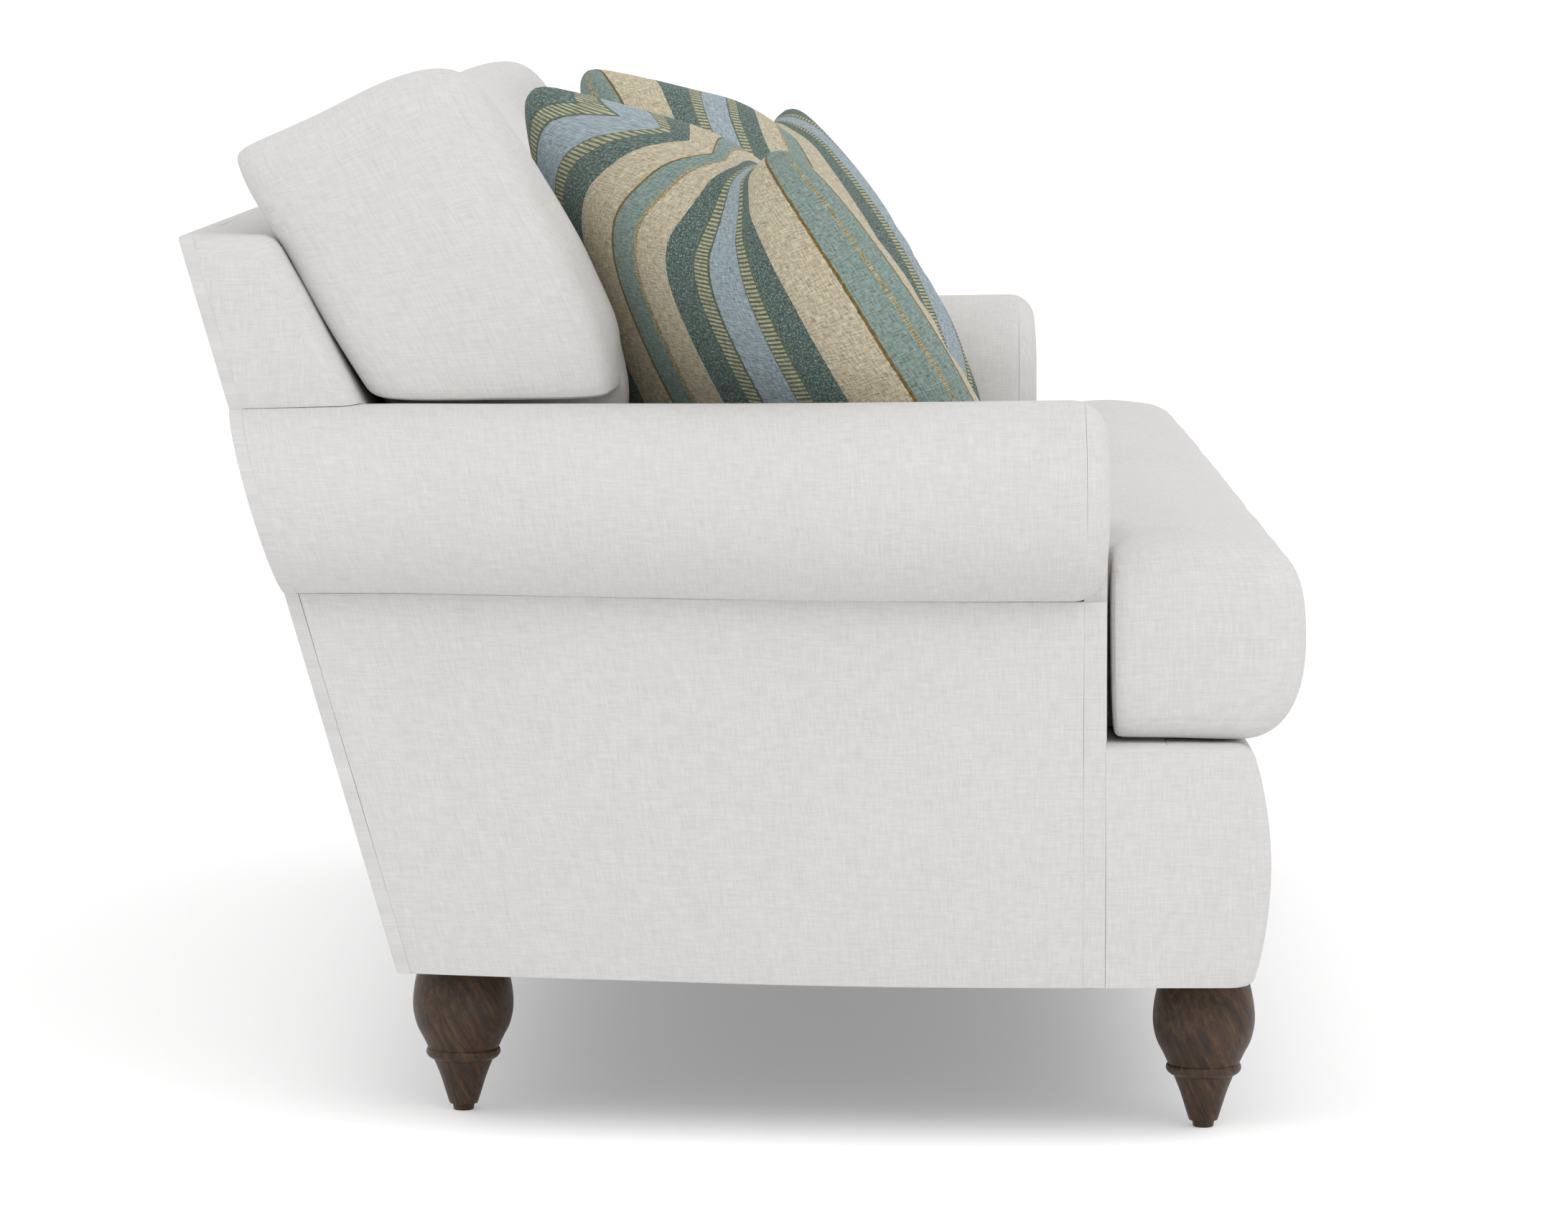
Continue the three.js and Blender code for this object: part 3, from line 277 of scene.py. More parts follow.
# %% Striped linen
SLATE = colour(84, 103, 98)
FLECK = colour(146, 162, 152)
LADDER = colour(98, 112, 96)
DASH = colour(184, 180, 148)
SKY = colour(160, 175, 182)
SAND = colour(198, 188, 163)
OLIVE = colour(124, 104, 60)
SAGE = colour(136, 155, 148)
DOTTED = colour(150, 132, 92)

STRIPES = [
    (0.031, SLATE), (0.018, LADDER), (0.037, SKY), (0.018, LADDER), (0.031, SLATE),
    (0.050, SAND), (0.003, OLIVE), (0.030, SAGE), (0.005, DOTTED), (0.038, SAND),
]
REPEAT = sum(width for width, _ in STRIPES)
LADDER_STEP, RUNG = 0.0046, 0.52
LADDER_SELVEDGE, DOTS_SPILL = 0.0018, 0.0003
WOBBLE = 0.0016
WOBBLE_CELLS, FLECK_CELLS, SPECK_CELLS = (40, 260), (620, 420), (520, 700)
FLECK_LEVEL, FLECK_SHADE, SPECK_LEVEL = 0.56, 0.75, 0.52
STRIPE_THREAD, STRIPE_SLUB, WEAVE_TONE = 0.0016, 0.008, 1.25


def stripe_table():
    """Where each stripe starts, how wide it is, and its colour."""
    edge, table = 0.0, []
    for width, tint in STRIPES:
        table.append((edge, width, tint))
        edge += width
    return table


def band_mask(place, tint, inset=0.0):
    """1 inside the stripes of one colour, drawn in by inset at both edges, and 0 outside."""
    masks = [
        (place - (edge + width / 2) / REPEAT).size() < (width / 2 - inset) / REPEAT
        for edge, width, stripe in stripe_table() if stripe == tint
    ]
    return sum(masks[1:], masks[0])


def cell_noise(finish, across, along, cells, detail, seed=0.0):
    """A noise with its own number of cells in a metre each way."""
    return finish.noise(finish.place(across * cells[0], along * cells[1], seed), 1.0, detail)


def striped_finish():
    finish = Finish("striped_linen")
    across, along = cloth_map(finish)
    wobble = cell_noise(finish, across, along, WOBBLE_CELLS, 1.0)
    place = ((across + WOBBLE * (wobble - 0.5)) / REPEAT).fraction()
    stops = [(edge / REPEAT, tint) for edge, _, tint in stripe_table()]
    stripes = finish.ramp(place, stops, "CONSTANT")

    rungs = (along / LADDER_STEP).fraction() < RUNG
    dashes = band_mask(place, LADDER, LADDER_SELVEDGE) * rungs
    ground = finish.mix(dashes, stripes, DASH)
    flecks = cell_noise(finish, across, along, FLECK_CELLS, 1.5)
    pale = band_mask(place, SLATE) * (flecks > FLECK_LEVEL) * FLECK_SHADE
    flecked = finish.mix(pale, ground, FLECK)
    specks = cell_noise(finish, across, along, SPECK_CELLS, 1.5, seed=3.0)
    dots = band_mask(place, DOTTED, -DOTS_SPILL) * (specks > SPECK_LEVEL)
    spotted = finish.mix(dots, flecked, DASH)

    warp, weft = threads(finish, across, along, STRIPE_THREAD, STRIPE_SLUB)
    tone = 1.0 + WEAVE_TONE * (warp - 0.5) + WEAVE_TONE * (weft - 0.5)
    woven = finish.mix(1.0, spotted, finish.place(tone, tone, tone), "MULTIPLY")
    return finish.surface(
        Base_Color=woven,
        Roughness=0.95,
        Sheen_Weight=0.10,
        Specular_IOR_Level=0.2,
        Normal=finish.bump(warp + weft + 0.5 * flecks, distance=0.0012, strength=0.8),
    )


striped_linen = striped_finish()
print("stripe repeat:", round(REPEAT, 3), "m")

# %% [markdown]
# ## Walnut, hardwood, steel, stuffing and cambric
#
# The legs are turned from walnut and waxed. Their grain runs at a slant, because the blanks are
# glued up on the bias, so a noise is stretched along a slanted axis. The frame's beech is plain
# and pale with the same kind of stretched noise. What is inside gets the look of its stuff too:
# plain steel, white wadding, and a black cambric that is the linen in other colours.

# %% Wood, steel and inner stuffs
PORE_WIDTH, PORE_LENGTH = 0.22, 0.3
PORE_LEVEL, PORE_SHADE = 0.58, 0.55


def grain(finish, slant, width, length):
    """Streaks and pores: two noises stretched along a slanted axis of the piece."""
    turned = finish.node(
        "ShaderNodeVectorRotate",
        {"rotation_type": "EULER_XYZ"},
        {"Vector": finish.spot(), "Rotation": slant},
    )
    x, y, z = finish.axes(turned)

    def drawn_out(across, along, detail, roughness):
        spot = finish.place(x / across, y / across, z / along)
        return finish.noise(spot, 1.0, detail, roughness)

    streaks = drawn_out(width, length, 4.0, 0.6)
    return streaks, drawn_out(width * PORE_WIDTH, length * PORE_LENGTH, 2.0, 0.5)


def walnut_finish():
    finish = Finish("walnut")
    streaks, pores = grain(finish, (0.45, 0.30, 0.0), 0.0048, 0.075)
    stops = [
        (0.28, colour(36, 24, 15)), (0.45, colour(60, 42, 28)),
        (0.60, colour(80, 57, 36)), (0.78, colour(110, 80, 52)),
    ]
    shade = finish.ramp(streaks, stops)
    pored = finish.mix((pores > PORE_LEVEL) * PORE_SHADE, shade, colour(38, 27, 21))
    return finish.surface(
        Base_Color=pored,
        Roughness=0.40 + 0.16 * pores,
        Specular_IOR_Level=0.35,
        Coat_Weight=0.06,
        Coat_Roughness=0.30,
        Normal=finish.bump(pores, distance=0.0003, strength=0.35),
    )


def hardwood_finish():
    finish = Finish("hardwood")
    streaks, pores = grain(finish, (0.0, 0.0, 0.0), 0.012, 0.3)
    stops = [(0.3, colour(176, 140, 98)), (0.7, colour(212, 180, 134))]
    return finish.surface(
        Base_Color=finish.ramp(streaks, stops),
        Roughness=0.62 + 0.2 * pores,
        Normal=finish.bump(pores, distance=0.0004, strength=0.4),
    )


def steel_finish():
    finish = Finish("steel")
    worn = finish.noise(finish.spot(), scale=60.0, detail=3.0)
    return finish.surface(
        Base_Color=colour(148, 150, 153), Metallic=1.0, Roughness=0.28 + 0.3 * worn,
    )


def wadding_finish():
    finish = Finish("wadding")
    fibres = finish.noise(finish.spot(), scale=70.0, detail=5.0, roughness=0.65)
    stops = [(0.35, colour(226, 224, 219)), (0.65, colour(244, 243, 240))]
    return finish.surface(
        Base_Color=finish.ramp(fibres, stops),
        Roughness=1.0,
        Specular_IOR_Level=0.1,
        Normal=finish.bump(fibres, distance=0.002, strength=0.5),
    )


walnut = walnut_finish()
hardwood = hardwood_finish()
steel = steel_finish()
wadding = wadding_finish()
cambric = linen_finish("cambric", colour(52, 52, 55), colour(26, 26, 28), 1.4)

# %% [markdown]
# ## Lines that the covers share
#
# Every cover follows a few lines of the frame, so those are written once. The side panels draw
# in towards the back, the back leans, and each arm is a roll whose radius shrinks a little to the
# rear. The numbers are those of the solids.

# %% Shared lines
HALF_WIDTH = 1.035
FRONT_Y, REAR_Y = -0.500, 0.500
BASE_Z, DECK_Z, BACK_TOP_Z = 0.140, 0.356, 0.802
PANEL_DRAW_IN, PANEL_STRAIGHT, PANEL_CURVE, PANEL_POWER = 0.084, 0.300, 0.500, 1.4
ARM_FRONT_Y, FRONT_ROUND = -0.325, 0.030
ROLL_FOOT_Z, ROLL_OUT = 0.482, 0.070
FRONT_RADIUS, REAR_RADIUS = 0.0895, 0.0835
SKIN, PADDING, GAP = 0.012, 0.015, 0.0003
BACK_TOP_DEPTH = 0.084
OUTSIDE_RAKE, INSIDE_RAKE = math.tan(math.radians(16.2)), math.tan(math.radians(27.0))
OUTSIDE_SLOPE, INSIDE_SLOPE = math.sqrt(1 + OUTSIDE_RAKE ** 2), math.sqrt(1 + INSIDE_RAKE ** 2)


def clamp(value, low=0.0, high=1.0):
    return max(low, min(high, value))


def lerp(first, last, share):
    return first + (last - first) * share


def even(count):
    """Shares from 0 to 1."""
    return [i / (count - 1) for i in range(count)]


def panel_x(y):
    share = clamp((y - FRONT_Y - PANEL_STRAIGHT) / PANEL_CURVE)
    return HALF_WIDTH - PANEL_DRAW_IN * share ** PANEL_POWER


def outside_back_y(z):
    return REAR_Y - (BACK_TOP_Z - z) * OUTSIDE_RAKE


def inside_back_y(z):
    return REAR_Y - BACK_TOP_DEPTH - (BACK_TOP_Z - z) * INSIDE_RAKE


def behind_back_y(z):
    return outside_back_y(z) - (SKIN + GAP) * OUTSIDE_SLOPE


def touching_back_y(z):
    return behind_back_y(z) + 0.9 * GAP


def roll_radius(y):
    share = clamp((y - ARM_FRONT_Y) / (REAR_Y - ARM_FRONT_Y))
    return lerp(FRONT_RADIUS, REAR_RADIUS, share)


def roll_x(y):
    return panel_x(y) + ROLL_OUT - roll_radius(y)


def roll_z(y):
    return ROLL_FOOT_Z + roll_radius(y)


def arm_inner_x(y):
    return roll_x(y) - roll_radius(y)


def quarter_inset(distance, radius):
    """How far a quarter round has drawn in, at a distance from its end."""
    short = clamp(radius - distance, 0.0, radius)
    return radius - math.sqrt(radius ** 2 - short ** 2)


def front_inset(y):
    return quarter_inset(y - ARM_FRONT_Y, FRONT_ROUND)


BACK_HALF_WIDTH = panel_x(REAR_Y)
print("half width at the back:", round(BACK_HALF_WIDTH, 4), "m")

# %% [markdown]
# ## From rings of points to a covered piece
#
# Upholstery is a skin over a shape, so most pieces here are lofts: closed rings of points, one
# after another, joined by quads. While the loft is made, the length round each ring and the
# distance from ring to ring are kept as the flat cloth map, so the weave keeps its real size.

# %% Lofts with a cloth map
SHARP_ANGLE = math.radians(55)
SEED_STEPS = (7.3, 3.1, 5.7)


def piece(name, points, faces, cloth, finish, body, slot):
    """A mesh object with its cloth map, finish and body. The slot argument is not used."""
    mesh = bpy.data.meshes.new(name)
    mesh.from_pydata([tuple(p) for p in points], [], faces)
    layer = mesh.uv_layers.new(name="cloth")
    layer.data.foreach_set("uv", np.array(cloth, dtype=np.float32).ravel())
    mesh.materials.append(finish)
    mesh.shade_smooth()
    mesh.set_sharp_from_angle(angle=SHARP_ANGLE)
    made = bpy.data.objects.new(name, mesh)
    scene.collection.objects.link(made)
    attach(made, body)
    return made


def running_lengths(points):
    lengths = [0.0]
    for first, second in zip(points, points[1:]):
        lengths.append(lengths[-1] + (Vector(second) - Vector(first)).length)
    return lengths


def quads(rows, count, cloth_at, closed=True):
    """Faces and cloth map between rows of count points each."""
    faces, cloth = [], []
    for row in range(rows - 1):
        for column in range(count if closed else count - 1):
            corners = (row, column), (row, column + 1), (row + 1, column + 1), (row + 1, column)
            faces.append(tuple(r * count + c % count for r, c in corners))
            cloth += [cloth_at(r, c) for r, c in corners]
    return faces, cloth


def loft_parts(rings):
    """Points, faces and cloth map of closed rings joined in order, with a cap at both ends."""
    count = len(rings[0])
    points = [Vector(p) for ring in rings for p in ring]
    rounds = [running_lengths([*ring, ring[0]]) for ring in rings]
    steps = running_lengths([ring[count // 3] for ring in rings])
    faces, cloth = quads(len(rings), count, lambda r, c: (rounds[r][c], steps[r]))
    for row, order in ((0, -1), (len(rings) - 1, 1)):
        ring = [row * count + i for i in range(count)][::order]
        faces.append(tuple(ring))
        cloth += [(points[i][0] + points[i][1], points[i][2]) for i in ring]
    return points, faces, cloth


def mirrored_rings(half, section):
    """Sections all along the sofa, from the places on its right half."""
    rings = []
    for x in [-x for x in reversed(half)] + half[1:]:
        ring = section(abs(x))
        rings.append([Vector((math.copysign(p.x, x) if x else 0.0, p.y, p.z)) for p in ring])
    return rings


def outwards(made):
    """Turns every face to look out."""
    work = bmesh.new()
    work.from_mesh(made.data)
    bmesh.ops.recalc_face_normals(work, faces=work.faces)
    work.to_mesh(made.data)
    work.free()
    return made


def linen_cover(name, parts):
    return outwards(piece(name, *parts, linen, "sofa", "linen"))


def soften(made, depth, size, seed):
    """Moves the surface in and out a little, as stuffing under cloth does."""
    offset = Vector([seed * step for step in SEED_STEPS])
    for vertex in made.data.vertices:
        swing = noise.noise(vertex.co / size + offset)
        vertex.co += vertex.normal * (depth * swing)
    return made


print("lofts ready")

# %% [markdown]
# ## Rolled arms
#
# The arm is what gives this sofa its name: a padded roll that runs from front to back and turns
# over the outside of the frame. Its cover starts in a tuck above the outside panel, goes over the
# roll and down the inner side. Each section is an arc and a straight, and the rear end is raked
# like the back, so every point of a section goes to its own place along the depth.

# %% Arm covers
FACING_REAR_Y = ARM_FRONT_Y + 0.020
WALL_FOOT_Z = DECK_Z - 0.026
TUCK, INNER = math.radians(-95.0), math.pi
SIDES = {"right": 1.0, "left": -1.0}
BEHIND_FACING = [0.0, 0.006, 0.013, 0.025, 0.045]
ARM_STATIONS = BEHIND_FACING + [lerp(0.075, 1.0, share) for share in even(26)]


def roll_arc(y, start, end, inset, count):
    radius = roll_radius(y) - inset
    angles = [lerp(start, end, share) for share in even(count)]
    return [(roll_x(y) + radius * math.cos(a), roll_z(y) + radius * math.sin(a)) for a in angles]


def route(start, *runs):
    """Points after start along straight runs, each given as its end and its number of steps."""
    line = []
    for end, count in runs:
        for share in even(count + 1)[1:]:
            line.append((lerp(start[0], end[0], share), lerp(start[1], end[1], share)))
        start = end
    return line


def arm_cover_outline(y):
    inset = front_inset(y)
    outer = roll_arc(y, TUCK, INNER, inset, count=46)
    lining = roll_arc(y, INNER, TUCK, inset + PADDING, count=24)
    face = arm_inner_x(y) + inset
    foot, lining_foot = (face, WALL_FOOT_Z), (face + PADDING, WALL_FOOT_Z)
    return outer + route(outer[-1], (foot, 8), (lining_foot, 1), (lining[0], 4)) + lining[1:]


def arm_rings(side):
    """Rings from the facing to the back, the rear ones raked as the back is."""
    rings = []
    for share in ARM_STATIONS:
        guide = arm_cover_outline(lerp(FACING_REAR_Y, touching_back_y(ROLL_FOOT_Z), share))
        ring = []
        for i, (_, height) in enumerate(guide):
            y = lerp(FACING_REAR_Y, touching_back_y(height), share)
            x, z = arm_cover_outline(y)[i]
            ring.append(Vector((side * x, y, z)))
        rings.append(ring)
    return rings


for side_name, side in SIDES.items():
    cover = linen_cover(side_name + "_arm_roll", loft_parts(arm_rings(side)))
    soften(cover, depth=0.0012, size=0.16, seed=side)
    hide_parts(side_name + "_arm_cover")
print("arm covers:", len(cover.data.polygons), "faces each")

# %% [markdown]
# ## Flat panels
#
# Cloth pulled over a board still turns softly at its edges. A panel is a grid whose outer rows
# fall back through a quarter circle before they go straight in, and whose middle stands a
# millimetre or two proud. Where two panels meet, the two small turns make the seam line.

# %% Outside arm panels
PANEL_TOP_Z = ROLL_FOOT_Z + 0.0015
PANEL_HEIGHT = PANEL_TOP_Z - BASE_Z
PANEL_LENGTH, PANEL_CROWN = 0.70, 0.0016
PANEL_TURN = 0.0009


def quarter(count):
    """Angles of a quarter turn."""
    return [math.pi / 2 * i / count for i in range(count + 1)]


def turned_edge(thickness, turn):
    """Distances in from an edge, each with how far the surface lies back there."""
    rounds = [(turn * (1 - math.cos(a)), turn * (1 - math.sin(a))) for a in quarter(4)]
    return [(0.0, thickness)] + rounds


def edge_rows(length, cell):
    start = turned_edge(SKIN, PANEL_TURN)
    count = max(2, round((length - 2 * PANEL_TURN) / cell))
    middle = [
        (lerp(PANEL_TURN, length - PANEL_TURN, i / count), 0.0) for i in range(1, count)
    ]
    return start + middle + [(length - distance, depth) for distance, depth in reversed(start)]


def panel_parts(width, crown, place, cell):
    """A padded panel; place gives the point at two shares and a depth."""
    columns, rows = edge_rows(width, cell), edge_rows(PANEL_HEIGHT, cell)
    points, uvs = [], []
    for b, depth_b in rows:
        for a, depth_a in columns:
            across, along = a / width, b / PANEL_HEIGHT
            swell = crown * (1 - abs(2 * across - 1) ** 3) * (1 - abs(2 * along - 1) ** 3)
            depth = min(SKIN, depth_a + depth_b) - swell
            points.append(Vector(place(across, along, depth)))
            uvs.append((a, b))
    wide, last = len(columns), len(rows) - 1
    faces, cloth = quads(len(rows), wide, lambda r, c: uvs[r * wide + c], closed=False)
    rim = list(range(wide)) + [j * wide + wide - 1 for j in range(1, last + 1)]
    rim += [last * wide + i for i in range(wide - 2, -1, -1)]
    rim += [j * wide for j in range(last - 1, 0, -1)]
    faces.append(tuple(reversed(rim)))
    cloth += [uvs[i] for i in reversed(rim)]
    return points, faces, cloth


def side_panel_place(side, front_y, rear_y_at):
    def place(across, along, depth):
        z = lerp(BASE_Z, PANEL_TOP_Z, along)
        y = lerp(front_y, rear_y_at(z), across)
        return side * (panel_x(y) - depth), y, z
    return place


for side_name, side in SIDES.items():
    place = side_panel_place(side, FACING_REAR_Y, touching_back_y)
    parts = panel_parts(PANEL_LENGTH, PANEL_CROWN, place, cell=0.035)
    panel = linen_cover(side_name + "_side_panel", parts)
    soften(panel, depth=0.0007, size=0.13, seed=3 * side)
    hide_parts(side_name + "_outside_arm_panel")
print("outside arm panels:", len(panel.data.polygons), "faces each")

# %% [markdown]
# ## Arm facings
#
# The front of each arm is a separate padded facing. Its edge rounds over by three centimetres, so
# it is a loft of outlines that draw in as they come forwards, and then of smaller and smaller
# outlines up to the middle. A narrow return strip runs down the side to the foot of the base.

# %% Arm facings
SIDE_TURN = 0.008
RETURN_WIDTH = 0.020
FACE_SWELL, FACE_REACH = 0.0025, 0.044
FACE_STEPS = (0.004, 0.010, 0.020, 0.032, 0.042)


def arm_outline(y, inset, drawn):
    """The arm's outline, with the roll drawn in by inset and the straight sides by drawn."""
    radius = roll_radius(y) - inset
    side, face = panel_x(y) - drawn, arm_inner_x(y) + drawn
    start = -math.acos(clamp((side - roll_x(y)) / radius, -1.0, 1.0))
    foot = WALL_FOOT_Z + max(0.0, drawn - SIDE_TURN)
    arc = roll_arc(y, start, INNER, inset, count=40)
    rise = route((side, foot), (arc[0], 6))
    fall = route(arc[-1], ((face, foot), 6))
    return [(side, foot), *rise[:-1], *arc, *fall, ((side + face) / 2, foot)]


def facing_rings(side):
    """Thirteen outlines round the edge, then smaller ones up to the middle of the face."""
    outlines = []
    for share in even(13):
        turn = lerp(math.acos(1 / 3), 0.0, share)
        y = min(ARM_FRONT_Y + FRONT_ROUND * (1 - math.cos(turn)), FACING_REAR_Y)
        inset = front_inset(y)
        outlines.append((y, arm_outline(y, inset, min(inset, SIDE_TURN))))
    for further in FACE_STEPS:
        y = ARM_FRONT_Y - FACE_SWELL * (1 - (1 - further / FACE_REACH) ** 2)
        outline = arm_outline(ARM_FRONT_Y, FRONT_ROUND + further, SIDE_TURN + further)
        outlines.append((y, outline))
    return [[Vector((side * x, y, z)) for x, z in outline] for y, outline in outlines]


def joined_parts(first, second):
    points, faces, cloth = second
    start = len(first[0])
    moved = [tuple(start + i for i in face) for face in faces]
    return first[0] + points, first[1] + moved, first[2] + cloth


for side_name, side in SIDES.items():
    place = side_panel_place(side, ARM_FRONT_Y, lambda z: FACING_REAR_Y)
    strip = panel_parts(RETURN_WIDTH, crown=0.0, place=place, cell=0.03)
    parts = joined_parts(loft_parts(facing_rings(side)), strip)
    facing = linen_cover(side_name + "_facing", parts)
    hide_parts(side_name + "_arm_facing")
print("arm facings:", len(facing.data.polygons), "faces each")

# %% [markdown]
# ## The back
#
# The inside back is padded and wraps over the top, with boxed ends above the arms. It is lofted
# along the sofa's length: in the middle each section reaches down to the deck, and beyond the
# inner side of an arm it ends on the roll. The outside back is one flat panel with an ear at each
# end that closes the roll from behind.

# %% Inside back cover
TOP_TURN, END_TURN = 0.020, 0.018
PAD_DIP, PAD_FADE = 0.004, 0.05
FRONT_MEETS_Z, REAR_MEETS_Z = 0.56, 0.62
ON_ROLL, FACE_RISE = 0.0004, 0.009
BESIDE_ARM_Y, BESIDE_ARM = 0.25, (0.004, 0.006, 0.012)


def roll_top_z(x, y):
    """The height of the arm's surface under a point of the back, or the deck's beside it."""
    if x < arm_inner_x(y) - ON_ROLL:
        return DECK_Z + GAP
    reach = roll_radius(y) + ON_ROLL
    return roll_z(y) + math.sqrt(max(reach ** 2 - (x - roll_x(y)) ** 2, 0.0))


def back_section(x):
    inset = quarter_inset(BACK_HALF_WIDTH - x, END_TURN)
    top = BACK_TOP_Z - inset
    fade = clamp((BACK_HALF_WIDTH - x) / PAD_FADE)

    def face(z):
        pad = PAD_DIP * clamp((BACK_TOP_Z - z) / PAD_FADE) * fade
        return inside_back_y(z) + inset * INSIDE_SLOPE - pad

    centre_z = top - TOP_TURN
    centre_y = inside_back_y(centre_z) + (TOP_TURN + inset) * INSIDE_SLOPE
    low_front = roll_top_z(x, face(FRONT_MEETS_Z))
    low_rear = roll_top_z(x, behind_back_y(REAR_MEETS_Z))
    heights = [lerp(low_front, centre_z + FACE_RISE, share) for share in even(16)]
    ring = [(face(z), z) for z in heights]
    for share in even(9)[1:]:
        angle = lerp(math.pi - math.atan(INSIDE_RAKE), math.pi / 2, share)
        ring.append((
            centre_y + TOP_TURN * math.cos(angle), centre_z + TOP_TURN * math.sin(angle),
        ))
    rear_top, rear_foot = (touching_back_y(top), top), (touching_back_y(low_rear), low_rear)
    ring += route(ring[-1], (rear_top, 4), (rear_foot, 8), (ring[0], 4))[:-1]
    return [Vector((x, y, z)) for y, z in ring]


def round_end(end, turn, count):
    """Places that lie evenly round a quarter turn at an end."""
    return [end - turn * (1 - math.sin(angle)) for angle in quarter(count)[1:]]


def back_places():
    """Places to the right of the middle, close together at the arm's side and at the end."""
    inner, end = arm_inner_x(BESIDE_ARM_Y) - BESIDE_ARM[0], BACK_HALF_WIDTH - END_TURN
    places = [inner * i / 18 for i in range(19)] + [inner + step for step in BESIDE_ARM]
    places += [lerp(inner + 0.020, end, share) for share in even(8)]
    return places + round_end(BACK_HALF_WIDTH, END_TURN, 5)


rings = mirrored_rings(back_places(), back_section)
inside_back = linen_cover("inside_back", loft_parts(rings))
soften(inside_back, depth=0.0010, size=0.15, seed=5)
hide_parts("inside_back_cover")
print("inside back:", len(inside_back.data.polygons), "faces")

# %% Outside back panel
PLATE_TURN, CORNER = 0.0012, 0.010
STRAIGHT_RISE, STRAIGHT_TOP = 0.17, 0.05


def signed_area(outline):
    """The area inside an outline, which is negative where the outline runs clockwise."""
    return sum(a[0] * b[1] - b[0] * a[1] for a, b in zip(outline, outline[1:] + outline[:1])) / 2


def mirrored_outline(right):
    return right + [(-x, other) for x, other in reversed(right)]


def plate_parts(outline, place, thickness, turn):
    """A flat plate with softly turned edges; place takes two numbers and a depth."""
    count = len(outline)
    flat = [Vector(p) for p in outline]
    way = 1.0 if signed_area(flat) > 0 else -1.0
    normals = []
    for i in range(count):
        along = (flat[(i + 1) % count] - flat[i - 1]).normalized()
        normals.append(Vector((along.y, -along.x)))
    points, uvs = [], []
    steps = turned_edge(thickness, turn)
    for inwards, depth in steps:
        for spot, normal in zip(flat, normals):
            moved = spot - normal * (way * inwards)
            points.append(Vector(place(moved.x, moved.y, depth)))
            uvs.append((moved.x, moved.y))
    faces, cloth = quads(len(steps), count, lambda r, c: uvs[r * count + c % count])
    for row in (0, len(steps) - 1):
        ring = [row * count + i for i in range(count)]
        faces.append(tuple(ring))
        cloth += [uvs[i] for i in ring]
    return points, faces, cloth


def back_outline():
    tuck = math.acos((BACK_HALF_WIDTH - roll_x(REAR_Y)) / roll_radius(REAR_Y))
    right = [(BACK_HALF_WIDTH, BASE_Z), (BACK_HALF_WIDTH, BASE_Z + STRAIGHT_RISE)]
    right += roll_arc(REAR_Y, -tuck, tuck, inset=0.0, count=25)
    right.append((BACK_HALF_WIDTH, BACK_TOP_Z - STRAIGHT_TOP))
    for angle in quarter(4):
        right.append((
            BACK_HALF_WIDTH - CORNER + CORNER * math.cos(angle),
            BACK_TOP_Z - CORNER + CORNER * math.sin(angle),
        ))
    return mirrored_outline(right)


def back_leaf(x, z, depth):
    return x, outside_back_y(z) - depth * OUTSIDE_SLOPE, z


parts = plate_parts(back_outline(), back_leaf, SKIN, PLATE_TURN)
outside_back = linen_cover("outside_back", parts)
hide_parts("outside_back_panel")
print("outside back:", len(outside_back.data.polygons), "faces")

# %% [markdown]
# ## Front border
#
# The border hides the front rail. It is stuffed, so its face bows forwards and rolls over into a
# lip at the top, and it turns each corner and runs back to the arm. It is lofted along the length
# too. The last centimetre of each end has the outline of the whole return instead of the lip.

# %% Front border
DECK_TOP_Z = DECK_Z - 0.0004
BORDER_TURN = 0.014
FOOT_Y, TOP_Y = FRONT_Y + 0.040, FRONT_Y + 0.041
FOOT_TURN = 0.012
LIP_RISE, LIP_DEPTH, LIP_TUCK = 0.016, 0.020, 0.007
PAIR_GAP = 0.0002
BOW, BOW_POWER, LIP_DROP = 0.013, 0.8, 0.4
LIP_REAR_Y = FRONT_Y + 0.120
BORDER_INNER_Z = BASE_Z + 0.150


def border_face(inset):
    """The bowed face from the foot to the top, drawn back by inset."""
    foot_y, top_y = FOOT_Y + inset, TOP_Y + inset
    low, high = BASE_Z + FOOT_TURN, DECK_TOP_Z - LIP_RISE
    rise = LIP_RISE - LIP_DROP * inset
    foot = [
        (foot_y + FOOT_TURN * (1 - math.cos(a)), low - FOOT_TURN * math.sin(a))
        for a in reversed(quarter(4)[1:])
    ]
    face = []
    for share in even(25):
        bow = BOW * math.sin(math.pi * share) ** BOW_POWER if 0 < share < 1 else 0.0
        face.append((lerp(foot_y, top_y, share) - bow, lerp(low, high, share)))
    lip = [
        (top_y + LIP_DEPTH * (1 - math.cos(a)), high + rise * math.sin(a))
        for a in quarter(6)[1:]
    ]
    return foot + face + lip


def border_section(x):
    face = border_face(quarter_inset(HALF_WIDTH - x, BORDER_TURN))
    (low_y, low_z), (high_y, high_z) = face[0], face[-1]
    if x > HALF_WIDTH - SKIN:
        runs = [((ARM_FRONT_Y, high_z), 4), ((ARM_FRONT_Y, low_z), 8)]
    else:
        runs = [
            ((LIP_REAR_Y, high_z), 4), ((LIP_REAR_Y, high_z - SKIN), 1),
            ((high_y + LIP_TUCK, high_z - SKIN), 3),
            ((low_y + SKIN, BORDER_INNER_Z), 2), ((low_y + SKIN, low_z), 2),
        ]
    back = route(face[-1], *runs, (face[0], 4))[:-1]
    return [Vector((x, y, z)) for y, z in face + back]


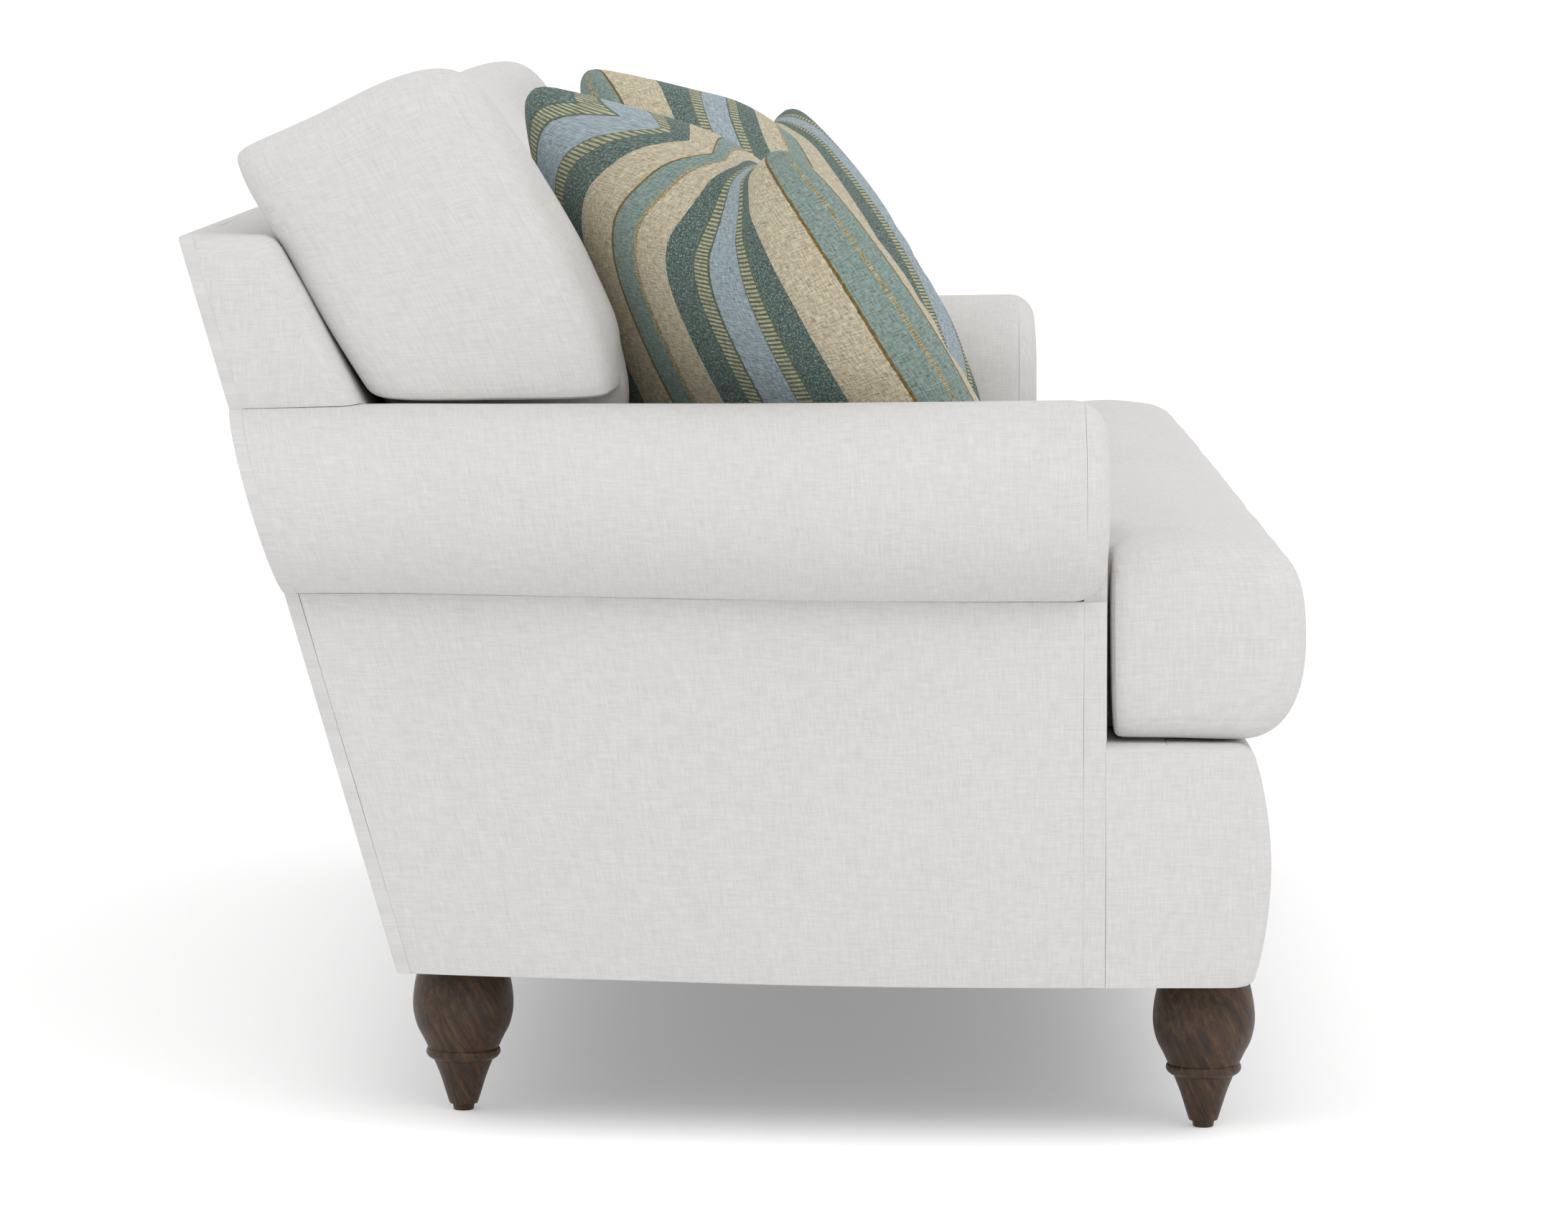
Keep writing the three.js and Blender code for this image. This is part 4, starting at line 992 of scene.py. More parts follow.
def border_places():
    """Places to the right of the middle, with a pair where the lip ends."""
    places = [HALF_WIDTH * 0.98 * i / 20 for i in range(21)]
    places += [HALF_WIDTH - SKIN - PAIR_GAP, HALF_WIDTH - SKIN + PAIR_GAP]
    return sorted(places + round_end(HALF_WIDTH, BORDER_TURN, 6))


border = linen_cover(
    "front_border_cover", loft_parts(mirrored_rings(border_places(), border_section)),
)
soften(border, depth=0.0010, size=0.14, seed=7)
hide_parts("front_border")
print("front border:", len(border.data.polygons), "faces")

# %% [markdown]
# ## Deck and dust cover
#
# Under the seat cushions is the deck, a padded cloth over the springs. Under the frame a black
# cambric is stapled on, which keeps dust out. Both are thin plates with turned edges.

# %% Deck and dust cover
DECK_THICKNESS, DECK_CLEAR = 0.019, 0.0009
DUST_Z, DUST_THICKNESS, DUST_TURN = BASE_Z + 0.0003, 0.001, 0.0004
DUST_MARGIN, DUST_REAR_MARGIN, DECK_UNDER_BACK = 0.014, 0.002, 0.060


def deck_place(x, y, depth):
    return x, y, DECK_TOP_Z - depth


def dust_place(x, y, depth):
    return x, y, DUST_Z + depth


deck_front, deck_rear = LIP_REAR_Y + GAP, inside_back_y(DECK_Z) + DECK_UNDER_BACK
deck_end = HALF_WIDTH - SKIN - GAP
right = [(deck_end, deck_front), (deck_end, ARM_FRONT_Y - GAP)]
for share in even(24):
    y = lerp(ARM_FRONT_Y - GAP, deck_rear, share)
    right.append((arm_inner_x(max(y, ARM_FRONT_Y)) - DECK_CLEAR, y))
parts = plate_parts(mirrored_outline(right), deck_place, DECK_THICKNESS, PLATE_TURN)
deck = linen_cover("deck_cloth", parts)
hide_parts("seat_deck")

dust_front, dust_rear = FOOT_Y + DUST_MARGIN, behind_back_y(DUST_Z) - DUST_REAR_MARGIN
right = [(HALF_WIDTH - DUST_MARGIN, dust_front)]
for share in even(24):
    y = lerp(ARM_FRONT_Y, dust_rear, share)
    right.append((panel_x(y) - DUST_MARGIN, y))
cut = mirrored_outline(right)
parts = plate_parts(cut, dust_place, DUST_THICKNESS, DUST_TURN)
dust_cloth = outwards(piece("dust_cloth", *parts, cambric, "sofa", "cambric"))
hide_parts("dust_cover")
cut_area = signed_area(cut)
cut_size = (2 * right[0][0], dust_rear - dust_front)
print("dust cover:", [round(length, 3) for length in cut_size], "m,", round(abs(cut_area), 3), "m2")

# %% [markdown]
# ## Turned legs
#
# A leg is turned on a lathe: a bulb, a bead ring, a cone and a small stepped tip. The same is done
# here. The profile is a list of radii and heights in millimetres, made smooth between its crisp
# edges, and it is spun round the leg's axis.

# %% Turned legs
PROFILES = [
    [(7.6, 0.0), (9.0, 0.6), (9.6, 3.0), (9.9, 5.5), (10.2, 6.5)],
    [(10.2, 6.5), (12.6, 7.2), (13.6, 8.5), (21.0, 32.0), (26.2, 45.0), (27.0, 47.0)],
    [(27.0, 47.0), (31.0, 49.2), (33.4, 52.0), (34.0, 54.5), (33.4, 57.0), (32.4, 58.0)],
    [(32.4, 58.0), (33.0, 60.0), (36.8, 68.0), (42.0, 78.0), (45.2, 90.0), (46.0, 101.0),
     (44.8, 114.0), (42.0, 128.0), (39.6, 138.6), (38.6, 140.0)],
]
LEG_PLACES = {"front": (0.940, -0.418), "rear": (0.853, 0.254)}


SMOOTH_STEPS, TURNS = 4, 72


def smooth_line(knots):
    """A Catmull-Rom line through the knots of one stretch."""
    line = []
    for i in range(len(knots) - 1):
        before, first = knots[max(i - 1, 0)], knots[i]
        last, after = knots[i + 1], knots[min(i + 2, len(knots) - 1)]
        for k in range(SMOOTH_STEPS):
            t = k / SMOOTH_STEPS
            line.append(tuple(
                0.5 * (2 * b + (c - a) * t + (2 * a - 5 * b + 4 * c - d) * t * t
                       + (3 * b - a - 3 * c + d) * t ** 3)
                for a, b, c, d in zip(before, first, last, after)
            ))
    return line + [knots[-1]]


def turned_ring(centre_x, centre_y, radius, height):
    angles = [2 * math.pi * i / TURNS for i in range(TURNS)]
    return [
        Vector((centre_x + radius * math.cos(a), centre_y + radius * math.sin(a), height))
        for a in angles
    ]


profile = [spot for stretch in PROFILES for spot in smooth_line(stretch)]
for side_name, side in SIDES.items():
    for place_name, (leg_x, leg_y) in LEG_PLACES.items():
        rings = [
            turned_ring(side * leg_x, leg_y, radius / 1000, height / 1000)
            for radius, height in profile
        ]
        name = f"{side_name}_{place_name}"
        leg = piece(name + "_turned_leg", *loft_parts(rings), walnut, "sofa", "walnut")
        outwards(leg)
        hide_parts(name + "_leg")
print("legs:", len(profile), "rings each")

# %% [markdown]
# ## Cushions as sewn covers
#
# A box cushion is two flat cuts of cloth with a boxing strip between them. Here it is the same: a
# plan grid of small cells, some of them left out where the cushion is notched round the arm, made
# into a top sheet, an under sheet and a wall between. The wall's rows are spaced evenly round a
# full edge. Each point of a sheet keeps its flat place as cloth map, and the sewn edges are
# marked, so that the linen can draw the seam as a small groove with painted shade along it.

# %% Plan grids with boxing
CELL = 0.0145
MARGIN = 0.002
ON_TOP, ON_FOOT = 0.999, 0.001
EDGE_ANGLE = math.radians(80)


def edge_at(through, low_power, high_power=0.7):
    """How far a full edge is drawn in, 0 to 1, and how high it is there, -1 to 1."""
    angle = lerp(-EDGE_ANGLE, EDGE_ANGLE, through)
    power = high_power if angle > 0 else low_power
    drawn = 1 - math.cos(angle) ** power
    height = (abs(math.sin(angle)) / math.sin(EDGE_ANGLE)) ** power
    return drawn, math.copysign(height, angle)


def wall_shares(count, inset, height, low_power):
    """Shares through the piece that lie evenly along the curve of its wall."""
    fine = even(401)
    spots = [edge_at(share, low_power) for share in fine]
    run = running_lengths([Vector((drawn * inset, level * height / 2)) for drawn, level in spots])
    return [float(np.interp(run[-1] * share, run, fine)) for share in even(count + 1)]


def corner_rounded(across, along, radius):
    """Distances from two edges that meet, moved so that the corner between them is round."""
    if across > radius or along > radius:
        return across, along
    a, b = 1 - across / radius, 1 - along / radius
    round_a = a * math.sqrt(1 - b * b / 2)
    round_b = b * math.sqrt(1 - a * a / 2)
    return radius * (1 - round_a), radius * (1 - round_b)


def sewn_parts(columns, rows, present, place, shares):
    """Points, faces, cloth map and seam marks of a boxed cushion on a plan grid."""
    last = len(shares) - 1
    seam_layers = (2, last - 2)
    cells = [(i, j) for j in range(rows) for i in range(columns) if present(i, j)]
    filled, edge, following, start = set(cells), set(), {}, None
    for i, j in cells:
        for di, dj, first, second in (
            (0, -1, (i, j), (i + 1, j)), (1, 0, (i + 1, j), (i + 1, j + 1)),
            (0, 1, (i + 1, j + 1), (i, j + 1)), (-1, 0, (i, j + 1), (i, j)),
        ):
            if (i + di, j + dj) not in filled:
                edge.update((first, second))
                following[first] = second
                start = start or first
    points, seam, index = [], [], {}

    def point(i, j, layer):
        key = (i, j, layer)
        if key not in index:
            index[key] = len(points)
            points.append(Vector(place(i, j, shares[layer])))
            seam.append(1.0 if (i, j) in edge and layer in seam_layers else 0.0)
        return index[key]

    faces, cloth = [], []
    for layer, order in ((last, 1), (0, -1)):
        for i, j in cells:
            corners = [(i, j), (i + 1, j), (i + 1, j + 1), (i, j + 1)][::order]
            faces.append(tuple(point(*corner, layer) for corner in corners))
            cloth += [(a * CELL + layer, b * CELL) for a, b in corners]
    loop = [start]
    while following[loop[-1]] != start:
        loop.append(following[loop[-1]])
    for step, first in enumerate(loop):
        second = following[first]
        for layer in range(last):
            faces.append((
                point(*first, layer), point(*second, layer),
                point(*second, layer + 1), point(*first, layer + 1),
            ))
            low, high = layer * CELL, (layer + 1) * CELL
            left, right = step * CELL, (step + 1) * CELL
            cloth += [(left, low), (right, low), (right, high), (left, high)]
    return points, faces, cloth, seam


def cushion_piece(name, parts, finish, body, slot):
    points, faces, cloth, seam = parts
    made = piece(name, points, faces, cloth, finish, body, slot)
    marks = made.data.attributes.new("seam", "FLOAT", "POINT")
    marks.data.foreach_set("value", seam)
    return outwards(made)


# %% [markdown]
# ## Seat cushions
#
# The two seat cushions are T-shaped together: each has an ear that runs out in front of its arm.
# The front is thicker than the rear, and the top is crowned. The grid starts two millimetres small
# all round, because the cushion is blown up later.

# %% Seat cushion form
SEAT_REAR_Y, SEAT_FRONT_Y = REAR_Y - 0.305, FRONT_Y - 0.011
SEAT_END_X, EAR_REAR_Y = HALF_WIDTH - 0.001, ARM_FRONT_Y - 0.0040
SEAT_COLUMNS, SEAT_EAR_COLUMNS = 64, 7
SEAT_ROWS, SEAT_EAR_ROWS = 48, 11
SEAT_EDGE, REAR_EDGE, END_EDGE = 0.052, 0.020, 0.024
SEAT_FOOT, SEAT_REAR_TOP, SEAT_FRONT_TOP = 0.0012, 0.1496, 0.1765
REAR_CROWN, FRONT_CROWN, CROWN_RIM, CROWN_REACH = 0.005, 0.012, 0.030, 0.22
FOOT_SWELL, FOOT_REACH = 0.001, 0.05
EAR_CORNER, EAR_REAR_CORNER, MIDDLE_CORNER = 0.034, 0.009, 0.020
EAR_REAR_SHARE, SEAT_ARM_GAP = 0.3, 0.002
SLOPE_REAR_Y, SLOPE_LENGTH = -0.160, 0.260
NOTCH_ROWS = 1.5


def dome(distance, reach):
    return 1 - (1 - clamp(distance / reach)) ** 2


def eased(share):
    return share * share * (3 - 2 * share)


def seat_slope(y):
    """0 between the arms and 1 at the front, where the cushion is fullest."""
    return eased(clamp((SLOPE_REAR_Y - y) / SLOPE_LENGTH))


def seat_place(i, j, through):
    drawn, level = edge_at(through, low_power=0.9)
    inset, behind = SEAT_EDGE * drawn + MARGIN, REAR_EDGE * drawn + MARGIN
    front, rear = SEAT_FRONT_Y + inset, SEAT_REAR_Y - behind
    corner = EAR_REAR_Y
    if i >= SEAT_COLUMNS:
        corner -= EAR_REAR_SHARE * REAR_EDGE * drawn + MARGIN
    if j <= SEAT_EAR_ROWS:
        y = lerp(front, corner, j / SEAT_EAR_ROWS)
    else:
        y = lerp(corner, rear, (j - SEAT_EAR_ROWS) / (SEAT_ROWS - SEAT_EAR_ROWS))
    low = GAP + behind
    body = arm_inner_x(max(y, ARM_FRONT_Y)) - SEAT_ARM_GAP
    body -= behind * clamp((j - SEAT_EAR_ROWS) / NOTCH_ROWS)
    end = SEAT_END_X - (SEAT_EDGE if level > 0 else END_EDGE) * drawn - MARGIN
    if i > SEAT_COLUMNS:
        x = lerp(body, end, clamp((i - SEAT_COLUMNS) / SEAT_EAR_COLUMNS))
    else:
        x = lerp(low, body, clamp(i / SEAT_COLUMNS))

    in_end, in_front = corner_rounded(end - x, y - front, EAR_CORNER)
    if i >= SEAT_COLUMNS:
        x, y = end - in_end, front + in_front
        in_end, in_rear = corner_rounded(end - x, corner - y, EAR_REAR_CORNER)
        x, y = end - in_end, corner - in_rear
    in_middle, in_front = corner_rounded(x - low, y - front, MIDDLE_CORNER)
    x, y = low + in_middle, front + in_front

    slope = seat_slope(y)
    foot = DECK_Z + SEAT_FOOT + MARGIN
    top = DECK_Z + lerp(SEAT_REAR_TOP, SEAT_FRONT_TOP, slope) - MARGIN
    rise = (top + foot) / 2 + (top - foot) / 2 * level
    side = SEAT_END_X if j < SEAT_EAR_ROWS else body
    inner = min(x, side - x, y - SEAT_FRONT_Y, SEAT_REAR_Y - y) - CROWN_RIM
    if through > ON_TOP:
        rise += lerp(REAR_CROWN, FRONT_CROWN, slope) * dome(inner, CROWN_REACH)
    elif through < ON_FOOT:
        rise -= FOOT_SWELL * dome(inner, FOOT_REACH)
    return x, y, rise


def seat_present(i, j):
    return i < SEAT_COLUMNS or j < SEAT_EAR_ROWS


seat_walls = wall_shares(13, inset=SEAT_EDGE, height=0.170, low_power=1.0)
parts = sewn_parts(
    SEAT_COLUMNS + SEAT_EAR_COLUMNS, SEAT_ROWS, seat_present, seat_place, seat_walls,
)
seat = cushion_piece("right_seat", parts, linen, "right_seat_cushion", "linen")
print("seat cushion:", len(seat.data.polygons), "faces")

# %% [markdown]
# ## Back cushions
#
# The back cushions stand on the seat and lean on the back frame. Their foot fits between the
# arms, and above the arms an ear runs out over the roll. The plan grid lies in the leaning plane,
# up the lean and along the sofa, and the thickness is measured across it.

# %% Back cushion form
LEAN = math.radians(30.8)
UP_Y, UP_Z = math.sin(LEAN), math.cos(LEAN)
SEAT_TOP_Z = DECK_Z + SEAT_REAR_TOP + 0.0054
CUSHION_FOOT_Z = SEAT_TOP_Z + 0.0009
CUSHION_HEIGHT, FOOT_SHARE = 0.440, 0.33
BACK_COLUMNS, BACK_EAR_COLUMNS = 58, 7
BACK_ROWS, BACK_FOOT_ROWS = 31, 10
BACK_EDGE, TOP_EDGE, EAR_EDGE = 0.032, 0.034, 0.012
CREST, SHOULDER = 0.006, 0.055
SWELL, SWELL_REACH = 0.008, 0.12
HOLLOW, HOLLOW_TO, HOLLOW_FADE = 0.018, 0.62, 0.30
TOP_CORNER, TOP_MIDDLE_CORNER = 0.030, 0.026
MIDDLE_GAP, BACK_ARM_GAP, END_GAP, EAR_WAIST = 0.0005, 0.003, 0.002, 0.005
EAR_AHEAD, EAR_LIFT = 0.091, 0.0010
HEIGHT_SHARES = (0.0, 0.20, 0.34, 0.50, 0.66, 1.0)
THICKNESSES = (0.122, 0.158, 0.193, 0.213, 0.221, 0.222)


def to_lean(y, z):
    """How far a place is up the lean, and how far across it to the rear."""
    return y * UP_Y + z * UP_Z, y * UP_Z - z * UP_Y


def from_lean(up, across):
    return up * UP_Y + across * UP_Z, up * UP_Z - across * UP_Y


def cushion_rear():
    """Where the lean's plane just touches the round top of the inside back."""
    centre_z = BACK_TOP_Z - TOP_TURN
    centre_y = inside_back_y(centre_z) + TOP_TURN * INSIDE_SLOPE
    return to_lean(centre_y, centre_z)[1] - TOP_TURN - MIDDLE_GAP


def up_to_level(z, across):
    return (z + across * UP_Y) / UP_Z


CUSHION_REAR = cushion_rear()
CUSHION_TOP_UP = up_to_level(CUSHION_FOOT_Z, CUSHION_REAR) + CUSHION_HEIGHT
EAR_Z = ROLL_FOOT_Z + 2 * roll_radius(inside_back_y(roll_z(0.0)) - EAR_AHEAD) + EAR_LIFT
UNDERCUT = math.tan(math.radians(22.0))


def thickness_at(height):
    """The cushion is slim between the arms and full above them."""
    return float(np.interp(height, HEIGHT_SHARES, THICKNESSES))


def hollow_at(height, across):
    """The inner part is pressed flatter than the end, and more so at the top."""
    return HOLLOW * (1 + height) * (1 - eased(clamp((across - HOLLOW_TO) / HOLLOW_FADE)))


def back_place(i, j, through):
    rim, level = edge_at(through, low_power=0.5, high_power=0.5)
    in_ear = j > BACK_FOOT_ROWS
    foot_share = clamp(j / BACK_FOOT_ROWS)
    ear_share = clamp((j - BACK_FOOT_ROWS) / (BACK_ROWS - BACK_FOOT_ROWS))
    height = lerp(FOOT_SHARE, 1.0, ear_share) if in_ear else FOOT_SHARE * foot_share
    across = i / (BACK_COLUMNS + BACK_EAR_COLUMNS)
    crest = 1 - abs(2 * across - 1) ** 4
    rim_gap = min(0.95 * min(across, 1 - across), 0.42 * (1 - height))
    swell = dome(rim_gap, SWELL_REACH) if through > ON_TOP else 0.0
    thickness = thickness_at(height) - hollow_at(height, across) + SWELL * swell - 2 * MARGIN
    depth = CUSHION_REAR - MARGIN - thickness * (1 + level) / 2

    top_up = CUSHION_TOP_UP + CREST * crest - SHOULDER * through - TOP_EDGE * rim - MARGIN
    lift = EAR_EDGE * rim + MARGIN
    foot_up = up_to_level(CUSHION_FOOT_Z, depth) + lift
    ear_up = up_to_level(EAR_Z, depth) + (lift if i >= BACK_COLUMNS else 0.0)
    up = lerp(ear_up, top_up, ear_share) if in_ear else lerp(foot_up, ear_up, foot_share)

    inset = BACK_EDGE * rim + MARGIN
    y, z = from_lean(up, depth)
    passing = clamp(y + max(roll_z(y) - z, 0.0) * UNDERCUT, ARM_FRONT_Y, REAR_Y)
    below = clamp((BACK_FOOT_ROWS - j) / NOTCH_ROWS)
    body = arm_inner_x(passing) - BACK_ARM_GAP - inset * below
    waist = EAR_WAIST * (1 - 4 * ear_share * (1 - ear_share))
    end = BACK_HALF_WIDTH - END_GAP - waist - inset
    low = MIDDLE_GAP + inset
    if i > BACK_COLUMNS:
        x = lerp(body, end, clamp((i - BACK_COLUMNS) / BACK_EAR_COLUMNS))
    else:
        x = lerp(low, body, clamp(i / BACK_COLUMNS))
    if in_ear:
        in_end, in_top = corner_rounded(end - x, top_up - up, TOP_CORNER)
        x, up = end - in_end, top_up - in_top
        in_middle, in_top = corner_rounded(x - low, top_up - up, TOP_MIDDLE_CORNER)
        x, up = low + in_middle, top_up - in_top
    return x, *from_lean(up, depth)


def back_present(i, j):
    return i < BACK_COLUMNS or j >= BACK_FOOT_ROWS


back_walls = wall_shares(15, inset=BACK_EDGE, height=0.215, low_power=0.5)
parts = sewn_parts(
    BACK_COLUMNS + BACK_EAR_COLUMNS, BACK_ROWS, back_present, back_place, back_walls,
)
back = cushion_piece("right_back", parts, linen, "right_back_cushion", "linen")
cushions = [seat, back]
print("back cushion:", len(back.data.polygons), "faces")

# %% [markdown]
# ## Throw pillows
#
# A throw pillow is two square cuts sewn round a loose insert, so it has a knife edge and no
# boxing. Its sides draw in by a centimetre between the corners, which are slightly rounded. A chop
# with the side of the hand leaves a valley in the top edge, and gathers the cloth there: the
# stripes run together at the valley. The gathering is put in the cloth map, and the valley in
# the shape.

# %% Throw pillow form
PILLOW_CELLS, PILLOW_MARGIN = 58, 0.003
PILLOW_CLOTH, PILLOW_WIDTH, PROFILE_POWER = 0.508, 0.434, 0.40
CHOP_AT, CHOP_WIDTH, CHOP_DEPTH, CHOP_HOLLOW = 0.78, 0.15, 0.024, 0.30
CHOP_CLOTH_AT, GATHER, GATHER_DEPTH, SLANT_DEPTH = 0.74, 2.3, 0.20, 0.16
BEND, DRAW_IN, EAR_ROUND = 0.024, 0.010, 0.055
EARS_OUTWARDS, EARS_UP, SEAM_THICKNESS = 0.009, 0.010, 0.0015
BACK_BELLY, INNER_BELLY, OUTER_BELLY = 0.088, 0.080, 0.056
PILLOW_FOOT_Z = DECK_Z + 0.1616
RIGHT_STRIPES_START, LEFT_STRIPES_START = 0.222 + 2 * REPEAT, REPEAT - 0.0265


def pillow_corner(within_panel, before_back_top, above_deck):
    return Vector((HALF_WIDTH - within_panel, REAR_Y - before_back_top, DECK_Z + above_deck))


INNER_TOP = pillow_corner(0.364, 0.303, 0.579)
OUTER_TOP = pillow_corner(-0.003, 0.540, 0.525)
INNER_FOOT = pillow_corner(0.440, 0.453, 0.163)
OUTER_FOOT = pillow_corner(0.127, 0.765, 0.168)
RISING, OUTWARDS_WAY = INNER_TOP - INNER_FOOT, OUTER_TOP - INNER_TOP
BEHIND = RISING.cross(OUTWARDS_WAY).normalized()


def rounded(share):
    return 1 - abs(2 * share - 1) ** 2


def pillow_profile(share):
    return rounded(share) ** PROFILE_POWER


FINE_SHARES = even(401)
SECTION = [
    Vector((share * PILLOW_WIDTH, BACK_BELLY * pillow_profile(share))) for share in FINE_SHARES
]
SECTION_RUN = running_lengths(SECTION)
CLOTH_SHARES = [length / SECTION_RUN[-1] for length in SECTION_RUN]


def cloth_share(share):
    """The share of the cloth's length at a share of the width, along a middle section."""
    return float(np.interp(share, FINE_SHARES, CLOTH_SHARES))


def ears_rounded(across, along):
    """Shares over the pillow, with all four corners rounded off."""
    a, b = min(across, 1 - across), min(along, 1 - along)
    moved_a, moved_b = corner_rounded(a, b, EAR_ROUND)
    across = moved_a if across < 0.5 else 1 - moved_a
    along = moved_b if along < 0.5 else 1 - moved_b
    return across, along


def pillow_place(across, along, face):
    """A point of the pillow: face is 1 on its back, -1 on its front and 0 on the seam."""
    fill = pillow_profile(across) * pillow_profile(along)
    across, along = ears_rounded(across, along)
    chop = math.exp(-(((across - CHOP_AT) / CHOP_WIDTH) ** 2))
    sides_in = (DRAW_IN * rounded(along) - EARS_OUTWARDS + PILLOW_MARGIN) / OUTWARDS_WAY.length
    ends_in = (DRAW_IN * rounded(across) - EARS_UP + PILLOW_MARGIN) / RISING.length
    chop_in = CHOP_DEPTH * chop / RISING.length
    across_share = lerp(sides_in, 1 - sides_in, across)
    along_share = lerp(ends_in, 1 - ends_in - chop_in, along)
    foot = INNER_FOOT.lerp(OUTER_FOOT, across_share)
    top = INNER_TOP.lerp(OUTER_TOP, across_share)
    valley = 1 - CHOP_HOLLOW * chop * along ** 5
    fullest = lerp(INNER_BELLY, OUTER_BELLY, across) if face < 0 else BACK_BELLY
    belly = (fullest - PILLOW_MARGIN) * fill * valley + SEAM_THICKNESS
    bend = BEND * rounded(along) * across ** 2
    spot = foot.lerp(top, along_share) + BEHIND * (belly * face - bend)
    spot.z = max(spot.z, PILLOW_FOOT_Z + PILLOW_MARGIN)
    return spot


def drawn_together(share, pull):
    """A share of the way from the chop, as it was before the cloth was drawn together."""
    return share + pull * share * (1 - share) ** 2


def gathered(across, along):
    """Where the cloth comes from: near the top it is drawn together at the chop."""
    depth = (1 - along) * PILLOW_CLOTH
    pull = GATHER * (1 - clamp(depth / GATHER_DEPTH)) ** 2.4
    middle = lerp(CHOP_CLOTH_AT, CHOP_AT, eased(clamp(depth / SLANT_DEPTH)))
    if across < CHOP_AT:
        return middle * (1 - drawn_together(1 - across / CHOP_AT, pull))
    return lerp(middle, 1.0, drawn_together((across - CHOP_AT) / (1 - CHOP_AT), pull))


def pillow_parts(start, way):
    """way is 1 where the stripes run outwards in the table's order, and -1 where they run back."""
    points, seam, index = [], [], {}

    def point(i, j, face):
        rim = i in (0, PILLOW_CELLS) or j in (0, PILLOW_CELLS)
        key = (i, j, 0 if rim else face)
        if key not in index:
            index[key] = len(points)
            points.append(pillow_place(i / PILLOW_CELLS, j / PILLOW_CELLS, key[2]))
            seam.append(1.0 if rim else 0.0)
        return index[key]

    faces, cloth = [], []
    for face in (1, -1):
        for j in range(PILLOW_CELLS):
            for i in range(PILLOW_CELLS):
                corners = [(i, j), (i + 1, j), (i + 1, j + 1), (i, j + 1)][::face]
                faces.append(tuple(point(a, b, face) for a, b in corners))
                for a, b in corners:
                    across, along = cloth_share(a / PILLOW_CELLS), cloth_share(b / PILLOW_CELLS)
                    u = start + way * PILLOW_CLOTH * gathered(across, along)
                    cloth.append((u, along * PILLOW_CLOTH))
    return points, faces, cloth, seam


def pillow_piece(side_name, start, way):
    return cushion_piece(
        side_name + "_pillow", pillow_parts(start, way), striped_linen,
        side_name + "_throw_pillow", "striped_linen",
    )


pillow = pillow_piece("right", RIGHT_STRIPES_START, -1)
cushions.append(pillow)
print("throw pillow:", len(pillow.data.polygons), "faces")

# %% [markdown]
# ## Blowing the cushions up
#
# Blender's cloth with a little air pressure inside does what stuffing does: faces crown, edges
# round over, and the cloth pulls between the corners. The right-hand pieces are simulated
# together, gravity off, for twenty frames. A point may only move so far, so a piece keeps its
# size. The left-hand pieces are the same covers mirrored, with their own small unevenness.

# %% Cloth with pressure
CLOTH_SETTINGS = {
    "quality": 5,
    "mass": 0.35,
    "tension_stiffness": 18,
    "compression_stiffness": 12,
    "shear_stiffness": 8,
    "bending_stiffness": 1.2,
    "shrink_min": -0.012,
    "use_pressure": True,
    "uniform_pressure_force": 4.0,
}
FRAMES = 20
CAPS = {"right_seat": 0.005, "right_back": 0.006, "right_pillow": 0.008}


def points_of(mesh):
    flat = np.empty(len(mesh.vertices) * 3)
    mesh.vertices.foreach_get("co", flat)
    return flat.reshape(-1, 3)


def set_points(mesh, spots):
    mesh.vertices.foreach_set("co", spots.ravel())
    mesh.update()


def blown_up(pieces):
    """Each piece's points after the cloth has run, with no cloth left on it."""
    for made in pieces:
        cloth = made.modifiers.new("cloth", "CLOTH")
        for key, value in CLOTH_SETTINGS.items():
            setattr(cloth.settings, key, value)
        cloth.settings.effector_weights.gravity = 0.0
        cloth.collision_settings.use_self_collision = False
    for step in range(1, FRAMES + 1):
        scene.frame_set(step)
    graph = bpy.context.evaluated_depsgraph_get()
    results = [points_of(made.evaluated_get(graph).data) for made in pieces]
    for made in pieces:
        made.modifiers.clear()
    scene.frame_set(1)
    return results


def held_back(start, moved, cap):
    """Moves each point towards its new place, but no further than about the cap."""
    step = moved - start
    length = np.linalg.norm(step, axis=1, keepdims=True) + 1e-9
    return start + step / length * cap * np.tanh(length / cap)


started = [points_of(made.data) for made in cushions]
for made, start, end in zip(cushions, started, blown_up(cushions)):
    step = np.linalg.norm(end - start, axis=1) * 1000
    print(f"{made.name} moved up to {step.max():.1f} mm, mean {step.mean():.1f}")
    set_points(made.data, held_back(start, end, CAPS[made.name]))

# %% [markdown]
# ## Keeping clear, and the left-hand pieces
#
# The blown-up covers are held clear of what they lie against: the middle of the sofa, the deck,
# the arms and each other. Then each is mirrored for the other side, and gets one subdivision.

# %% Clear of the neighbours
OVERHANG, PILLOW_RISE = 0.003, 0.0314
ON_DECK, FRONT_SWELL, REAR_SWELL = 0.0006, 0.006, 0.004
NOTCH_DEPTH, NOTCH_GAP, WALL_GAP, UNDER_BACK = 0.03, 0.0038, 0.0015, 0.0005


def clear_of_arm(spot, gap):
    """Pushes a point out of the arm's roll and inner wall."""
    x, y, z = spot
    if y < ARM_FRONT_Y:
        return spot
    if z < roll_z(y):
        return Vector((min(x, arm_inner_x(y) - gap), y, z))
    away = Vector((x - roll_x(y), z - roll_z(y)))
    reach = roll_radius(y) + gap
    if away.length < reach:
        away = away.normalized() * reach
        return Vector((roll_x(y) + away.x, y, roll_z(y) + away.y))
    return spot


